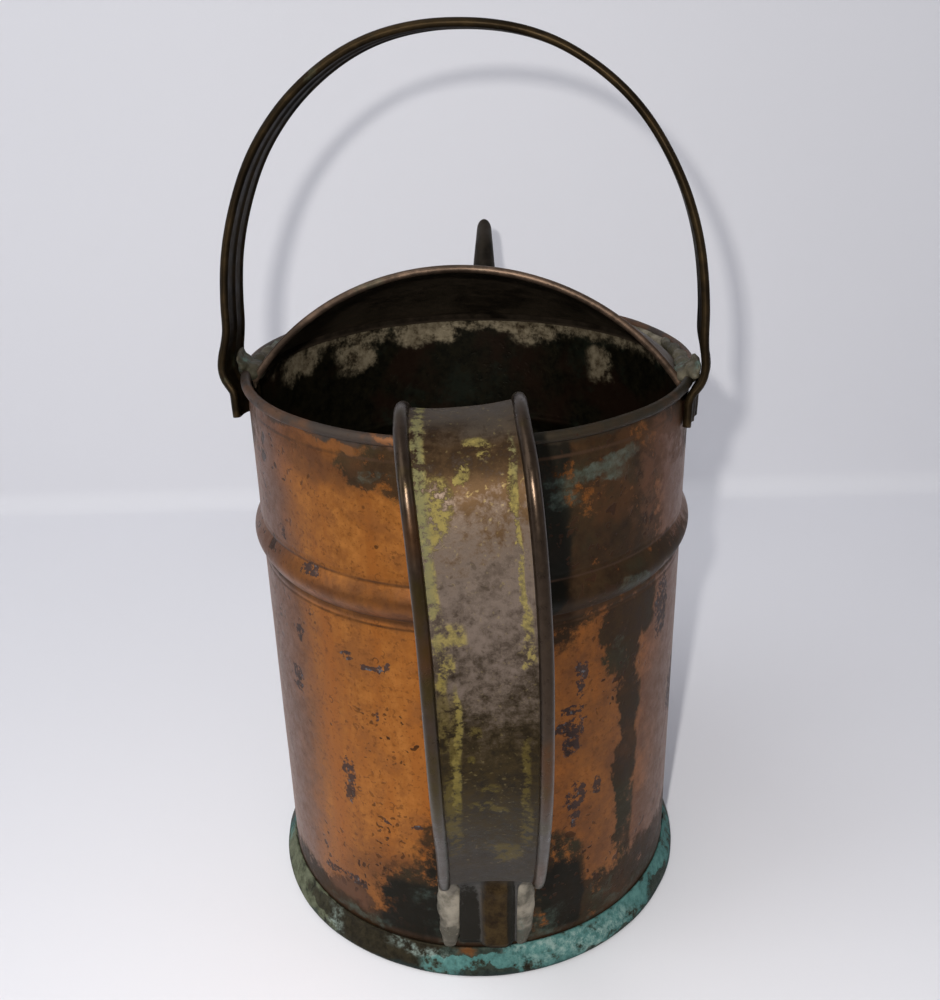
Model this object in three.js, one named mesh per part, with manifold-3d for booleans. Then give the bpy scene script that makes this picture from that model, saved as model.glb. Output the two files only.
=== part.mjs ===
// Open copper can with a pouring spout, a half hood, a fixed overhead bail and a rear strap handle.
// Millimetres, +Z up, spout towards +Y, rear handle towards -Y, origin at the centre of the flat base.
import * as THREE from 'three';
import Module from 'manifold-3d';
import { ConvexGeometry } from 'three/addons/geometries/ConvexGeometry.js';
import { mergeVertices } from 'three/addons/utils/BufferGeometryUtils.js';

const wasm = await Module();
wasm.setup();

// Clearance between pieces that touch, and the facets of every ring on the can's axis.
const gap = 0.3;
const ringSides = 48;

// How far a cutting solid runs past what it cuts, and the half size of a cutting box.
const cutOver = 10;
const far = 500;

// Body: a rolled sheet wall with a swaged bead and a rim rolled outwards over a wire.
const bodyRadius = 62.5;
const canHeight = 170.4;
const wallSheet = 0.6;
const beadHeight = 124.3;
const beadWidth = 9;
const beadRise = 1.7;
const rimWireRadius = 0.5;
const rimNeck = 0.6;
const rimNeckDepth = 6;

// Base and foot ring.
const baseThickness = 1;
const footHeight = 9;
const footFlare = 3.6;
const footSheet = 0.6;
const footWireRadius = 0.6;

// Half hood: a sheet bent between an upright arch across the mouth and the front half of the rim.
const hoodSheet = 0.7;
const hoodRise = 28.6;
const hoodSeatDepth = 4;
const hoodSkirt = 2;
const hoodWireRadius = 1;
const mouthLine = -11.75;
const topTurn = THREE.MathUtils.degToRad(6.3);

// Bail: a ribbed strip bent into an arch, its two feet soldered down outside the rim.
const bailWidth = 14.8;
const bailThickness = 1.2;
const bailRib = 1.9;
const ribWidth = 1.6;
const ribSlope = 0.8;
const bailInset = 0.9;
const bailShoulder = 11.6;
const bailArch = 75.8;
const bailFoot = 13;
const bailLean = THREE.MathUtils.degToRad(3.5);

// Rear handle: a strap with a round bead along each edge, a tab under the rim and a tail on the wall.
const strapWidth = 28;
const strapThickness = 1.2;
const strapBeadRadius = 1.6;
const strapBeadLift = 0.8;
const handleReach = 46.6;
const handleTop = 15;
const handleTab = 22;
const tailClear = 3;
const handleTail = 26;
const handleShift = 4;
const handleLean = 1.5;

// Spout: a tapered tube from the lower front of the wall, its tip cut upright.
const spoutSheet = 0.7;
const spoutRootRadius = 17;
const spoutTipRadius = 3.1;
const spoutClear = 0.7;
const spoutReach = 105.5;
const spoutSlope = THREE.MathUtils.degToRad(50.94);
const spoutTurn = THREE.MathUtils.degToRad(2.8);

// Solder.
const tailSolderWidth = 3.8;
const tailSolderCover = 0.7;
const tabSolderWidth = 4.5;
const tabSolderHeight = 8;
const tabSolderCover = 0.1;
const bailSolderHeight = 4.4;
const hoodFillet = 2.6;
const spoutFillet = 2.4;

const rimRoll = rimWireRadius + gap + wallSheet;
const rimCentre = bodyRadius - wallSheet - rimNeck + rimRoll;
const rimAxisHeight = canHeight - rimRoll;
const wallFoot = baseThickness + gap;
const footRoll = footWireRadius + gap + footSheet;
const footCentre = bodyRadius + footFlare - footRoll;
const spoutLength = spoutReach / Math.cos(spoutSlope);
const spoutTaper = (spoutRootRadius - spoutTipRadius) / spoutLength;
const spoutSpread = 1 / (Math.cos(spoutSlope) - spoutTaper * Math.sin(spoutSlope));
const spoutRootHeight = footHeight + spoutClear + (spoutRootRadius + spoutFillet) * spoutSpread;
const handleTailEnd = footHeight + tailClear;

const copper = { color: 0xb0622f, roughness: 0.5, metalness: 0.8 };
const brass = { color: 0x7a6238, roughness: 0.5, metalness: 0.8 };
const darkBrass = { color: 0x3c3222, roughness: 0.55, metalness: 0.8 };
const verdigris = { color: 0x5b8f86, roughness: 0.85, metalness: 0.2 };
const steel = { color: 0x6f6a64, roughness: 0.6, metalness: 0.8 };
const solder = { color: 0xa8a293, roughness: 0.75, metalness: 0.3 };

const can = new THREE.Group();

function piece(name, geometry, look, parent = can) {
  const mesh = new THREE.Mesh(geometry, new THREE.MeshStandardMaterial(look));
  mesh.name = name;
  parent.add(mesh);
  return mesh;
}

function solid(geometry) {
  const bare = geometry.index ? geometry.toNonIndexed() : geometry.clone();
  bare.deleteAttribute('normal');
  bare.deleteAttribute('uv');
  const merged = mergeVertices(bare, 1e-4);
  return new wasm.Manifold(new wasm.Mesh({
    numProp: 3,
    vertProperties: new Float32Array(merged.attributes.position.array),
    triVerts: new Uint32Array(merged.index.array),
  }));
}

function geometryOf(body) {
  const mesh = body.getMesh();
  const geometry = new THREE.BufferGeometry();
  geometry.setAttribute('position', new THREE.BufferAttribute(mesh.vertProperties, 3));
  geometry.setIndex(new THREE.BufferAttribute(mesh.triVerts, 1));
  return geometry;
}

function box(low, high) {
  const size = high.map((value, axis) => value - low[axis]);
  const geometry = new THREE.BoxGeometry(...size);
  geometry.translate(...high.map((value, axis) => (value + low[axis]) / 2));
  return solid(geometry);
}

// A ring round the can's axis from a closed profile of [radius, height] points.
function ring(profile, sides = ringSides) {
  const points = profile.map(([radius, height]) => new THREE.Vector2(radius, height));
  if (THREE.ShapeUtils.isClockWise(points)) points.reverse();
  const geometry = new THREE.LatheGeometry([...points, points[0].clone()], sides);
  geometry.rotateX(Math.PI / 2);
  return geometry;
}

function arc(centreX, centreY, radius, from, to, steps) {
  return Array.from({ length: steps + 1 }, (_, step) => {
    const angle = THREE.MathUtils.degToRad(from + ((to - from) * step) / steps);
    return [centreX + radius * Math.cos(angle), centreY + radius * Math.sin(angle)];
  });
}

// The closed outline of a sheet of the given thickness whose middle follows the path.
function sheetOutline(path, thickness) {
  const sides = [[], []];
  path.forEach(([x, y], place) => {
    const [x0, y0] = path[Math.max(place - 1, 0)];
    const [x1, y1] = path[Math.min(place + 1, path.length - 1)];
    const length = Math.hypot(x1 - x0, y1 - y0);
    const offset = thickness / 2;
    const across = [(-(y1 - y0) / length) * offset, ((x1 - x0) / length) * offset];
    sides[0].push([x + across[0], y + across[1]]);
    sides[1].push([x - across[0], y - across[1]]);
  });
  return [...sides[0], ...sides[1].reverse()];
}

// A bar of one section along a curve that lies in the XY plane.
// The section's x runs along -Z and its y to the left of the way the curve goes.
function sweep(section, curve, steps) {
  const shape = new THREE.Shape(section.map(([x, y]) => new THREE.Vector2(x, y)));
  return new THREE.ExtrudeGeometry(shape, { steps, extrudePath: curve, bevelEnabled: false });
}

function roundSection(radius, sides, shiftY = 0) {
  return arc(0, shiftY, radius, 0, 360 - 360 / sides, sides - 1);
}

// Body shell: wall, bead and rolled rim in one sheet, with the hole that feeds the spout.
function bodyPath() {
  const middle = bodyRadius - wallSheet / 2;
  const bead = arc(0, 0, 1, -90, 90, 4).map(([, share]) => [
    middle + beadRise * Math.cos((share * Math.PI) / 2) ** 2,
    beadHeight + (share * beadWidth) / 2,
  ]);
  return [
    [middle, wallFoot],
    ...bead,
    [middle, rimAxisHeight - rimNeckDepth],
    [middle - rimNeck * 0.7, rimAxisHeight - rimNeckDepth / 3],
    ...arc(rimCentre, rimAxisHeight, rimRoll - wallSheet / 2, 180, -60, 8),
  ];
}

// Everything of the spout is made along its own axis and then leant into place.
const spoutTuck = 2 * spoutRootRadius + cutOver;

function spoutCone(grow, over = cutOver) {
  const low = spoutRootRadius + grow + spoutTaper * spoutTuck;
  const high = spoutTipRadius + grow - spoutTaper * over;
  const end = spoutLength + over;
  const profile = [[0, -spoutTuck], [low, -spoutTuck], [high, end], [0, end]];
  const points = profile.map(([radius, height]) => new THREE.Vector2(radius, height));
  const geometry = new THREE.LatheGeometry(points, 28);
  geometry.rotateX(Math.PI / 2);
  geometry.rotateX(-(Math.PI / 2 - spoutSlope));
  geometry.translate(0, bodyRadius, spoutRootHeight);
  return solid(geometry);
}

function wallDrum(radius) {
  const points = [[0, -far], [radius, -far], [radius, far], [0, far]];
  const geometry = new THREE.LatheGeometry(points.map(([x, y]) => new THREE.Vector2(x, y)), ringSides);
  geometry.rotateX(Math.PI / 2);
  return solid(geometry);
}

const bore = spoutCone(-spoutSheet, 1.2 * cutOver);
const shell = solid(ring(sheetOutline(bodyPath(), wallSheet)));
const frontBore = bore.intersect(box([-far, 0, -far], [far, far, far]));
const shellCut = shell.subtract(frontBore.rotate([0, 0, -THREE.MathUtils.radToDeg(spoutTurn)]));
piece('body_shell', geometryOf(shellCut), copper);
piece('rim_wire', ring(arc(rimCentre, rimAxisHeight, rimWireRadius, 0, 315, 7)), steel);

piece('base_disc', ring([[0, 0], [bodyRadius, 0], [bodyRadius, baseThickness], [0, baseThickness]]), copper);

// Foot ring: a band that flares out and rolls under a wire.
function footPath() {
  const top = bodyRadius + gap + footSheet / 2;
  return [
    [top, footHeight],
    [top, footHeight - 2],
    [top + (footCentre + footRoll - top) * 0.35, footHeight * 0.5],
    ...arc(footCentre, footRoll, footRoll - footSheet / 2, 18, -225, 8),
  ];
}
piece('foot_ring', ring(sheetOutline(footPath(), footSheet)), verdigris);
piece('foot_wire', ring(arc(footCentre, footRoll, footWireRadius, 0, 315, 7)), steel);

// Spout.
const spoutParts = new THREE.Group();
spoutParts.rotation.z = -spoutTurn;
can.add(spoutParts);
const ahead = box([-far, 0, -far], [far, bodyRadius + spoutReach, far]);
const spoutSkin = spoutCone(0).subtract(bore).subtract(wallDrum(bodyRadius + gap)).intersect(ahead);
piece('spout', geometryOf(spoutSkin), brass, spoutParts);
const filletSkin = wallDrum(bodyRadius + gap + spoutFillet).subtract(wallDrum(bodyRadius + gap));
const spoutRing = spoutCone(spoutFillet).subtract(spoutCone(gap)).intersect(filletSkin).intersect(ahead);
piece('spout_solder', geometryOf(spoutRing), solder, spoutParts);

// Hood, its wired edge and the seam that holds it, all turned a little on the can.
const topParts = new THREE.Group();
topParts.rotation.z = -topTurn;
can.add(topParts);

const hoodRadius = rimCentre - rimRoll - gap;
const bailFront = mouthLine + bailWidth / 2;
const hoodSeat = canHeight - hoodSeatDepth;

function archPoints(halfWidth, rise, y, steps) {
  const radius = (halfWidth ** 2 + rise ** 2) / (2 * rise);
  const half = THREE.MathUtils.radToDeg(Math.asin(halfWidth / radius));
  const line = arc(0, hoodSeat + rise - radius, radius, 90 + half, 90 - half, steps);
  return line.map(([x, z]) => new THREE.Vector3(x, y, z));
}

function hoodBlock(inset, back, low) {
  const radius = hoodRadius - inset;
  const halfWidth = Math.sqrt(radius ** 2 - mouthLine ** 2);
  const rise = canHeight - hoodSeat + hoodRise - inset;
  const start = THREE.MathUtils.radToDeg(Math.asin(mouthLine / radius));
  const rim = arc(0, 0, radius, start, 180 - start, 26);
  const points = archPoints(halfWidth, rise, mouthLine, 22);
  if (back > 0) points.push(...archPoints(halfWidth, rise, mouthLine - back, 22));
  for (const [x, y] of rim) {
    points.push(new THREE.Vector3(x, y, hoodSeat), new THREE.Vector3(x, y, low));
  }
  if (back > 0) {
    points.push(new THREE.Vector3(halfWidth, mouthLine - back, low));
    points.push(new THREE.Vector3(-halfWidth, mouthLine - back, low));
  }
  return solid(new ConvexGeometry(points));
}
const hoodLow = hoodSeat - hoodSkirt;
const hood = hoodBlock(0, 0, hoodLow).subtract(hoodBlock(hoodSheet, cutOver, hoodLow - cutOver));
piece('hood', geometryOf(hood), darkBrass, topParts);

const edgeHalf = Math.sqrt(hoodRadius ** 2 - mouthLine ** 2) - hoodSheet / 2;
const edgeRise = canHeight - hoodSeat + hoodRise - hoodSheet / 2;
const edgeRadius = (edgeHalf ** 2 + edgeRise ** 2) / (2 * edgeRise);
const edgeCentre = hoodSeat + edgeRise - edgeRadius;
const edgeFoot = canHeight - hoodSeatDepth / 2;
const edgeStart = THREE.MathUtils.radToDeg(Math.asin((edgeFoot - edgeCentre) / edgeRadius));
const edgeLine = arc(0, edgeCentre, edgeRadius, edgeStart, 180 - edgeStart, 24);
const edgeCurve = new THREE.CatmullRomCurve3(edgeLine.map(([x, y]) => new THREE.Vector3(x, y, 0)));
const hoodWire = sweep(roundSection(hoodWireRadius, 8), edgeCurve, 26);
hoodWire.rotateX(Math.PI / 2);
hoodWire.translate(0, mouthLine - gap - hoodWireRadius, 0);
piece('hood_wire', hoodWire, darkBrass, topParts);

const hoodSeam = solid(ring([
  [hoodRadius - hoodFillet, hoodSeat], [hoodRadius, hoodSeat],
  [hoodRadius, canHeight - hoodSeatDepth / 4], [hoodRadius - hoodFillet, canHeight - hoodSeatDepth / 2],
]));
const seamStart = bailFront + 2 * gap;
const seamSide = box([-far, seamStart, -far], [far, far, far]);
const hoodSolder = hoodSeam.intersect(seamSide).subtract(hoodBlock(-gap, 0, hoodLow));
piece('hood_solder', geometryOf(hoodSolder), solder, topParts);

// Bail, leant slightly forwards about the line of its feet.
const bailParts = new THREE.Group();
bailParts.position.set(0, mouthLine, canHeight);
bailParts.rotation.x = -bailLean;
topParts.add(bailParts);

const lipOuter = rimCentre + rimRoll;
const stripClear = gap + bailRib / 2;
const bailLip = Math.sqrt(lipOuter ** 2 - bailFront ** 2) + stripClear;
const bailTab = Math.sqrt(bodyRadius ** 2 - bailFront ** 2) + stripClear;
const bailHalfSpan = bailLip - bailInset;

function bailSide(sign) {
  return [
    [sign * bailTab, -bailFoot],
    [sign * bailTab, -bailFoot * 0.6],
    [sign * bailLip, -2 * rimRoll],
    [sign * bailLip, bailShoulder * 0.3],
  ];
}
const bailArc = arc(0, 0, 1, 0, 180, 22).map(([x, y]) => [bailHalfSpan * x, bailShoulder + bailArch * y]);
const bailLine = [...bailSide(1), ...bailArc, ...bailSide(-1).reverse()];
const bailCurve = new THREE.CatmullRomCurve3(
  bailLine.map(([x, y]) => new THREE.Vector3(x, y, 0)), false, 'centripetal',
);
const half = bailWidth / 2;
const thin = bailThickness / 2;
const thick = bailRib / 2;
const ribIn = half - ribWidth;
const ribFoot = ribIn - ribSlope;
const bailSection = [
  [half, -thick], [half, thick], [ribIn, thick], [ribFoot, thin],
  [ribWidth, thin], [0, thick], [-ribWidth, thin],
  [-ribFoot, thin], [-ribIn, thick], [-half, thick], [-half, -thick],
  [-ribIn, -thick], [-ribFoot, -thin], [ribFoot, -thin], [ribIn, -thick],
].reverse();
const bail = sweep(bailSection, bailCurve, 52);
bail.rotateX(Math.PI / 2);
piece('bail_handle', bail, darkBrass, bailParts);

// Solder between each foot of the bail and the rim's crest.
function bailSolder(sign) {
  const low = 2 * gap;
  const outer = bailLip - bailRib / 2 - 2 * gap;
  const inner = hoodRadius - 2 * hoodWireRadius + 2 * gap;
  const points = [];
  for (const y of [1 - half, half - 1]) {
    points.push(new THREE.Vector3(sign * inner, y, low), new THREE.Vector3(sign * outer, y, low));
    points.push(new THREE.Vector3(sign * (outer - 0.5), y * 0.8, low + bailSolderHeight));
    points.push(new THREE.Vector3(sign * (inner + 0.6), y * 0.8, low + bailSolderHeight * 0.6));
  }
  return new ConvexGeometry(points);
}
piece('bail_solder_right', bailSolder(1), solder, bailParts);
piece('bail_solder_left', bailSolder(-1), solder, bailParts);

// Rear handle.
const wallLine = bodyRadius + gap + strapThickness / 2;
const lipLine = lipOuter + 2 * gap + strapThickness / 2;
const tailTop = handleTailEnd + handleTail;
const crest = canHeight + handleTop;
const bow = ([out, up]) => [wallLine + out * handleReach, tailTop + up * (crest - tailTop)];
const bowLine = [
  [0.17, 0.05], [0.36, 0.09], [0.57, 0.21], [0.87, 0.412], [0.985, 0.594], [1, 0.722],
  [0.97, 0.85], [0.87, 0.946], [0.66, 0.991], [0.44, 1], [0.22, 0.974],
].map(bow);
const tabLine = [
  [lipLine + 1.6, canHeight + handleTop * 0.3],
  [lipLine, canHeight - 2 * rimRoll],
  [wallLine, canHeight - handleTab * 0.4],
];

function handleCurve(line) {
  const points = line.map(([x, y]) => new THREE.Vector3(x, y - handleTailEnd, 0));
  return new THREE.CatmullRomCurve3(points, false, 'centripetal');
}

function toBack(geometry, sideways = 0) {
  geometry.rotateX(Math.PI / 2);
  geometry.rotateZ(-Math.PI / 2);
  geometry.translate(sideways, 0, 0);
  return geometry;
}

// The handle leans sideways about the lower end of its tail.
const handleParts = new THREE.Group();
handleParts.position.set(handleShift, 0, handleTailEnd);
handleParts.rotation.y = -THREE.MathUtils.degToRad(handleLean);
can.add(handleParts);
const strapHalf = strapWidth / 2 - 2 * strapBeadRadius - gap;
const strapSection = [
  [-strapHalf, -strapThickness / 2], [strapHalf, -strapThickness / 2],
  [strapHalf, strapThickness / 2], [-strapHalf, strapThickness / 2],
];
const strapLine = [
  [wallLine, handleTailEnd], [wallLine, tailTop - handleTail * 0.5],
  [wallLine + strapThickness, tailTop - 2 * strapThickness],
  ...bowLine, ...tabLine, [wallLine, canHeight - handleTab],
];
piece('rear_handle', toBack(sweep(strapSection, handleCurve(strapLine), 54)), brass, handleParts);
const beadSide = strapWidth / 2 - strapBeadRadius;
const beadLine = [...bowLine, tabLine[0]];
for (const [name, sign] of [['handle_bead_left', -1], ['handle_bead_right', 1]]) {
  const bead = sweep(roundSection(strapBeadRadius, 8, -strapBeadLift), handleCurve(beadLine), 40);
  piece(name, toBack(bead, sign * beadSide), brass, handleParts);
}

// Solder on the wall beside the tail and the tab of the rear handle, following its lean.
function wallSolder(rise, low, high, inner, outer) {
  const foot = bodyRadius + gap;
  const band = ring([[foot, low], [foot + rise, low], [foot + rise, high], [foot, high]]);
  const slab = box([Math.min(inner, outer), -far, -far], [Math.max(inner, outer), 0, far]);
  const side = slab.rotate([0, -handleLean, 0]).translate([handleShift, 0, handleTailEnd]);
  return geometryOf(solid(band).intersect(side));
}
const solderStart = strapHalf + gap;
const edgeDrop = bodyRadius - Math.sqrt(bodyRadius ** 2 - solderStart ** 2);
const stripeTop = tailTop + 6;
const tabSolderTop = canHeight - 2 * rimRoll - gap;
const tabSolderLow = tabSolderTop - tabSolderHeight;
for (const [side, sign] of [['left', -1], ['right', 1]]) {
  const edge = [sign * solderStart, sign * (solderStart + tailSolderWidth)];
  const tabEdge = [sign * solderStart, sign * (solderStart + tabSolderWidth)];
  const tail = wallSolder(edgeDrop + tailSolderCover, footHeight + gap, stripeTop, ...edge);
  const tab = wallSolder(edgeDrop + tabSolderCover, tabSolderLow, tabSolderTop, ...tabEdge);
  piece(`tail_solder_${side}`, tail, solder);
  piece(`tab_solder_${side}`, tab, solder);
}

export default can;
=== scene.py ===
import math

import bmesh
import bpy
from mathutils import Matrix, Vector, noise


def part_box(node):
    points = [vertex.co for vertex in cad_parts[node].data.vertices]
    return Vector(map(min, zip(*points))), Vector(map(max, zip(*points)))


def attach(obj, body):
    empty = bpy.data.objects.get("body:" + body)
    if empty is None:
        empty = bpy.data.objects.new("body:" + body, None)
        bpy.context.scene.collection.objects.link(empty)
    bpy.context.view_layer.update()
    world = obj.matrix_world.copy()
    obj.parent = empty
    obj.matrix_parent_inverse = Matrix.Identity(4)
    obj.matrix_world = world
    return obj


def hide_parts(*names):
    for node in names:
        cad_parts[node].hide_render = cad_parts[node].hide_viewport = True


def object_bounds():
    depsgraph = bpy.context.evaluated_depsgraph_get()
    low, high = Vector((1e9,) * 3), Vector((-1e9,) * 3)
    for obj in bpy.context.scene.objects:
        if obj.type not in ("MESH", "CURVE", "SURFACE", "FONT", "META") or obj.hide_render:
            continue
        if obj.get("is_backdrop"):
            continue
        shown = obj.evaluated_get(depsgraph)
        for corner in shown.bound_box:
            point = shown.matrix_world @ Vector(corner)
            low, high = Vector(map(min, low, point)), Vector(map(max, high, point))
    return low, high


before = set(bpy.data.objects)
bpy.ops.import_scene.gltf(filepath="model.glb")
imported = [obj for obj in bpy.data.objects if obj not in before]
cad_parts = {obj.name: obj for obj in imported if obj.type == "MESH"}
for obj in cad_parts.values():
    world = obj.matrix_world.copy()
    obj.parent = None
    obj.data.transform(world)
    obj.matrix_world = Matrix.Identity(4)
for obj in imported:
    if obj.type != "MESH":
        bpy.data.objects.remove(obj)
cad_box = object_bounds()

# ------------------------------------------------------------
# The table, the wall behind it and the light. A pale matt sheet runs down the wall and over the
# table in one piece; the camera stands behind the strap handle and looks down over the rim.
# ------------------------------------------------------------
scene = bpy.context.scene
scene.view_settings.view_transform = "Standard"
can_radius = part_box("base_disc")[1].x


def feed(tree, socket, value):
    """Gives a socket a value of its own, or a link from another socket."""
    if isinstance(value, bpy.types.NodeSocket):
        tree.links.new(value, socket)
    else:
        socket.default_value = value


def add(tree, kind, inputs=(), **settings):
    """One shader node; inputs pairs a socket's name or number with a value or another socket."""
    made = tree.nodes.new(kind)
    for key, value in settings.items():
        setattr(made, key, value)
    for key, value in dict(inputs).items():
        feed(tree, made.inputs[key], value)
    return made


def blend(tree, share, first, second):
    """The first colour where share is 0, the second where it is 1."""
    made = add(tree, "ShaderNodeMix", {0: share}, data_type="RGBA")
    for place, value in ((6, first), (7, second)):
        feed(tree, made.inputs[place], (*value, 1) if isinstance(value, tuple) else value)
    return made.outputs[2]


def cloud(tree, where, scale, detail=4.0, roughness=0.55, stretch=None):
    """Noise from 0 to 1 with scale features to the metre."""
    if stretch:
        where = add(tree, "ShaderNodeMapping", {"Vector": where, "Scale": stretch}).outputs[0]
    inputs = {"Vector": where, "Scale": scale, "Detail": detail, "Roughness": roughness}
    return add(tree, "ShaderNodeTexNoise", inputs).outputs[0]


def new_material(name):
    made = bpy.data.materials.new(name)
    made.use_nodes = True
    tree = made.node_tree
    shader = tree.nodes["Principled BSDF"]
    shader.inputs["Specular IOR Level"].default_value = 0.15
    return made, tree, shader


def wire_up(tree, node, **sockets):
    """Feeds a node's sockets; underscores in their names stand for spaces."""
    for name, value in sockets.items():
        feed(tree, node.inputs[name.replace("_", " ")], value)


def object_place(tree):
    return add(tree, "ShaderNodeTexCoord").outputs["Object"]


def split(tree, vector):
    return add(tree, "ShaderNodeSeparateXYZ", {0: vector}).outputs


def dents(tree, height, strength, distance):
    inputs = {"Height": height, "Strength": strength, "Distance": distance}
    return add(tree, "ShaderNodeBump", inputs).outputs[0]


def tinted(colour, strength):
    """A colour made lighter or darker."""
    return tuple(min(1.0, strength * part) for part in colour)


sheet_colour = (0.8, 0.8, 0.835)
sheet_look, tree, shader = new_material("backdrop_paper")
grain = cloud(tree, object_place(tree), 900.0, 2.0)
soft = cloud(tree, object_place(tree), 2.5, 2.0)
tone = blend(tree, soft, sheet_colour, tinted(sheet_colour, 0.955))
dent = dents(tree, grain, 0.06, 0.0004)
wire_up(tree, shader, Base_Color=tone, Roughness=0.9, Normal=dent)
shader.inputs["Specular IOR Level"].default_value = 0.2
clear = add(tree, "ShaderNodeBsdfTransparent")
back = add(tree, "ShaderNodeNewGeometry").outputs["Backfacing"]
one_sided = add(tree, "ShaderNodeMixShader", {0: back, 1: shader.outputs[0], 2: clear.outputs[0]})
tree.links.new(one_sided.outputs[0], tree.nodes["Material Output"].inputs["Surface"])

wall_line, cove, reach = 0.274, 0.012, 3.0
outline = [(-reach, 0.0)]
for step in range(9):
    turn = math.radians(step * 90 / 8)
    outline.append((wall_line - cove + cove * math.sin(turn), cove - cove * math.cos(turn)))
outline.append((wall_line, reach))
corners = [(x, y, z) for y, z in outline for x in (-reach, reach)]
strips = [(2 * i, 2 * i + 1, 2 * i + 3, 2 * i + 2) for i in range(len(outline) - 1)]
backdrop_mesh = bpy.data.meshes.new("backdrop")
backdrop_mesh.from_pydata(corners, [], strips)
backdrop_mesh.shade_smooth()
backdrop = bpy.data.objects.new("backdrop", backdrop_mesh)
backdrop_mesh.materials.append(sheet_look)
scene.collection.objects.link(backdrop)
backdrop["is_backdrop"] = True

camera = bpy.data.objects.new("camera", bpy.data.cameras.new("camera"))
scene.collection.objects.link(camera)
scene.camera = camera
stand_back, eye_height = 4.77368 * can_radius, 4.21574 * can_radius
pitch, yaw, roll = math.radians(24.827), math.radians(-0.0806), math.radians(-1.424)
ahead = Vector((math.sin(yaw) * math.cos(pitch), math.cos(yaw) * math.cos(pitch), -math.sin(pitch)))
level = Vector((math.cos(yaw), -math.sin(yaw), 0))
upright = level.cross(ahead)
right = math.cos(roll) * level + math.sin(roll) * upright
above = math.cos(roll) * upright - math.sin(roll) * level
turned = Matrix((right, above, -ahead)).transposed().to_4x4()
camera.matrix_world = Matrix.Translation((0, -stand_back, eye_height)) @ turned
camera.data.sensor_width = 36
camera.data.lens = 39.076
camera.data.clip_start = 0.01


def softbox(name, place, aim, width, height, power, tint=(1, 1, 1)):
    lamp = bpy.data.lights.new(name, "AREA")
    lamp.shape = "RECTANGLE"
    lamp.size, lamp.size_y = width, height
    lamp.energy = power
    lamp.color = tint
    made = bpy.data.objects.new(name, lamp)
    made.location = place
    made.rotation_euler = (Vector(aim) - Vector(place)).to_track_quat("-Z", "Y").to_euler()
    made.visible_camera = False
    scene.collection.objects.link(made)
    return made


softbox("lamp_near_eye", (-0.022, -0.303, 0.288), (0, 0.05, 0.1), 0.008, 0.008, 1.0, (1.0, 0.975, 0.93))
softbox("lamp_overhead", (-0.5, -0.25, 1.2), (0, 0.05, 0.0), 0.8, 0.8, 4.2, (0.97, 0.985, 1.0))
softbox("lamp_left", (-1.1, -0.35, 0.5), (0, 0, 0.1), 0.5, 0.8, 3.0, (0.96, 0.98, 1.0))
softbox("lamp_right", (1.2, -0.3, 0.6), (0, 0.1, 0.2), 0.4, 0.6, 1.1, (0.95, 0.97, 1.0))

world = bpy.data.worlds.new("room")
scene.world = world
world.use_nodes = True
tree = world.node_tree
room = tree.nodes["Background"]
seen = add(tree, "ShaderNodeLightPath").outputs["Is Camera Ray"]
tree.links.new(blend(tree, seen, (0.28, 0.28, 0.3), (0.62, 0.625, 0.66)), room.inputs["Color"])

# ------------------------------------------------------------
# Body. Copper sheet rolled into a drum, with a swaged bead round it and the mouth rolled outwards
# over a wire. Long use has browned it, with verdigris under the rim.
# ------------------------------------------------------------
mm = 0.001
can_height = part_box("body_shell")[1].z
around_steps = 288


def bare_object(name, verts, faces):
    mesh = bpy.data.meshes.new(name)
    mesh.from_pydata([tuple(v) for v in verts], [], faces)
    tidy = bmesh.new()
    tidy.from_mesh(mesh)
    bmesh.ops.remove_doubles(tidy, verts=tidy.verts, dist=1e-6)
    bmesh.ops.recalc_face_normals(tidy, faces=tidy.faces)
    tidy.to_mesh(mesh)
    tidy.free()
    mesh.shade_smooth()
    made = bpy.data.objects.new(name, mesh)
    scene.collection.objects.link(made)
    return made


def finish_piece(made, material, slot, *nodes):
    made.data.materials.clear()
    made.data.materials.append(material)
    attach(made, "root")
    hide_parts(*nodes)
    return made


def skin(rings, joined=False):
    """The surface through rings of points, capped at both ends unless the last joins the first."""
    size = len(rings[0])
    verts = [point for ring in rings for point in ring]
    faces = []
    spans = len(rings) if joined else len(rings) - 1
    for i in range(spans):
        near, far = i * size, (i + 1) % len(rings) * size
        for j in range(size):
            k = (j + 1) % size
            faces.append((near + j, near + k, far + k, far + j))
    if not joined:
        for start in (0, (len(rings) - 1) * size):
            middle = sum((verts[start + j] for j in range(size)), Vector()) / size
            verts.append(middle)
            for j in range(size):
                faces.append((start + j, start + (j + 1) % size, len(verts) - 1))
    return verts, faces


def turned_ring(profile, shape=None, steps=around_steps):
    """A closed profile of (radius, height) turned round the can's axis; shape may move a point."""
    rings = []
    for step in range(steps):
        turn = 2 * math.pi * step / steps
        ring = []
        for radius, height in profile:
            if shape:
                radius, height = shape(turn, radius, height)
            ring.append(Vector((radius * math.cos(turn), radius * math.sin(turn), height)))
        rings.append(ring)
    return skin(rings, joined=True)


def bow_points(middle, radius, start, end, steps):
    """Points on an arc, in degrees."""
    made = []
    for step in range(steps + 1):
        turn = math.radians(start + (end - start) * step / steps)
        made.append((middle[0] + radius * math.cos(turn), middle[1] + radius * math.sin(turn)))
    return made


def circle(count):
    """The cosine and sine of evenly spaced turns."""
    turns = [2 * math.pi * k / count for k in range(count)]
    return [(math.cos(turn), math.sin(turn)) for turn in turns]


def neighbours(line, i):
    """The points before and after one, or the point itself where the line ends."""
    return line[max(i - 1, 0)], line[min(i + 1, len(line) - 1)]


def held(value):
    return max(0.0, min(1.0, value))


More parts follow.
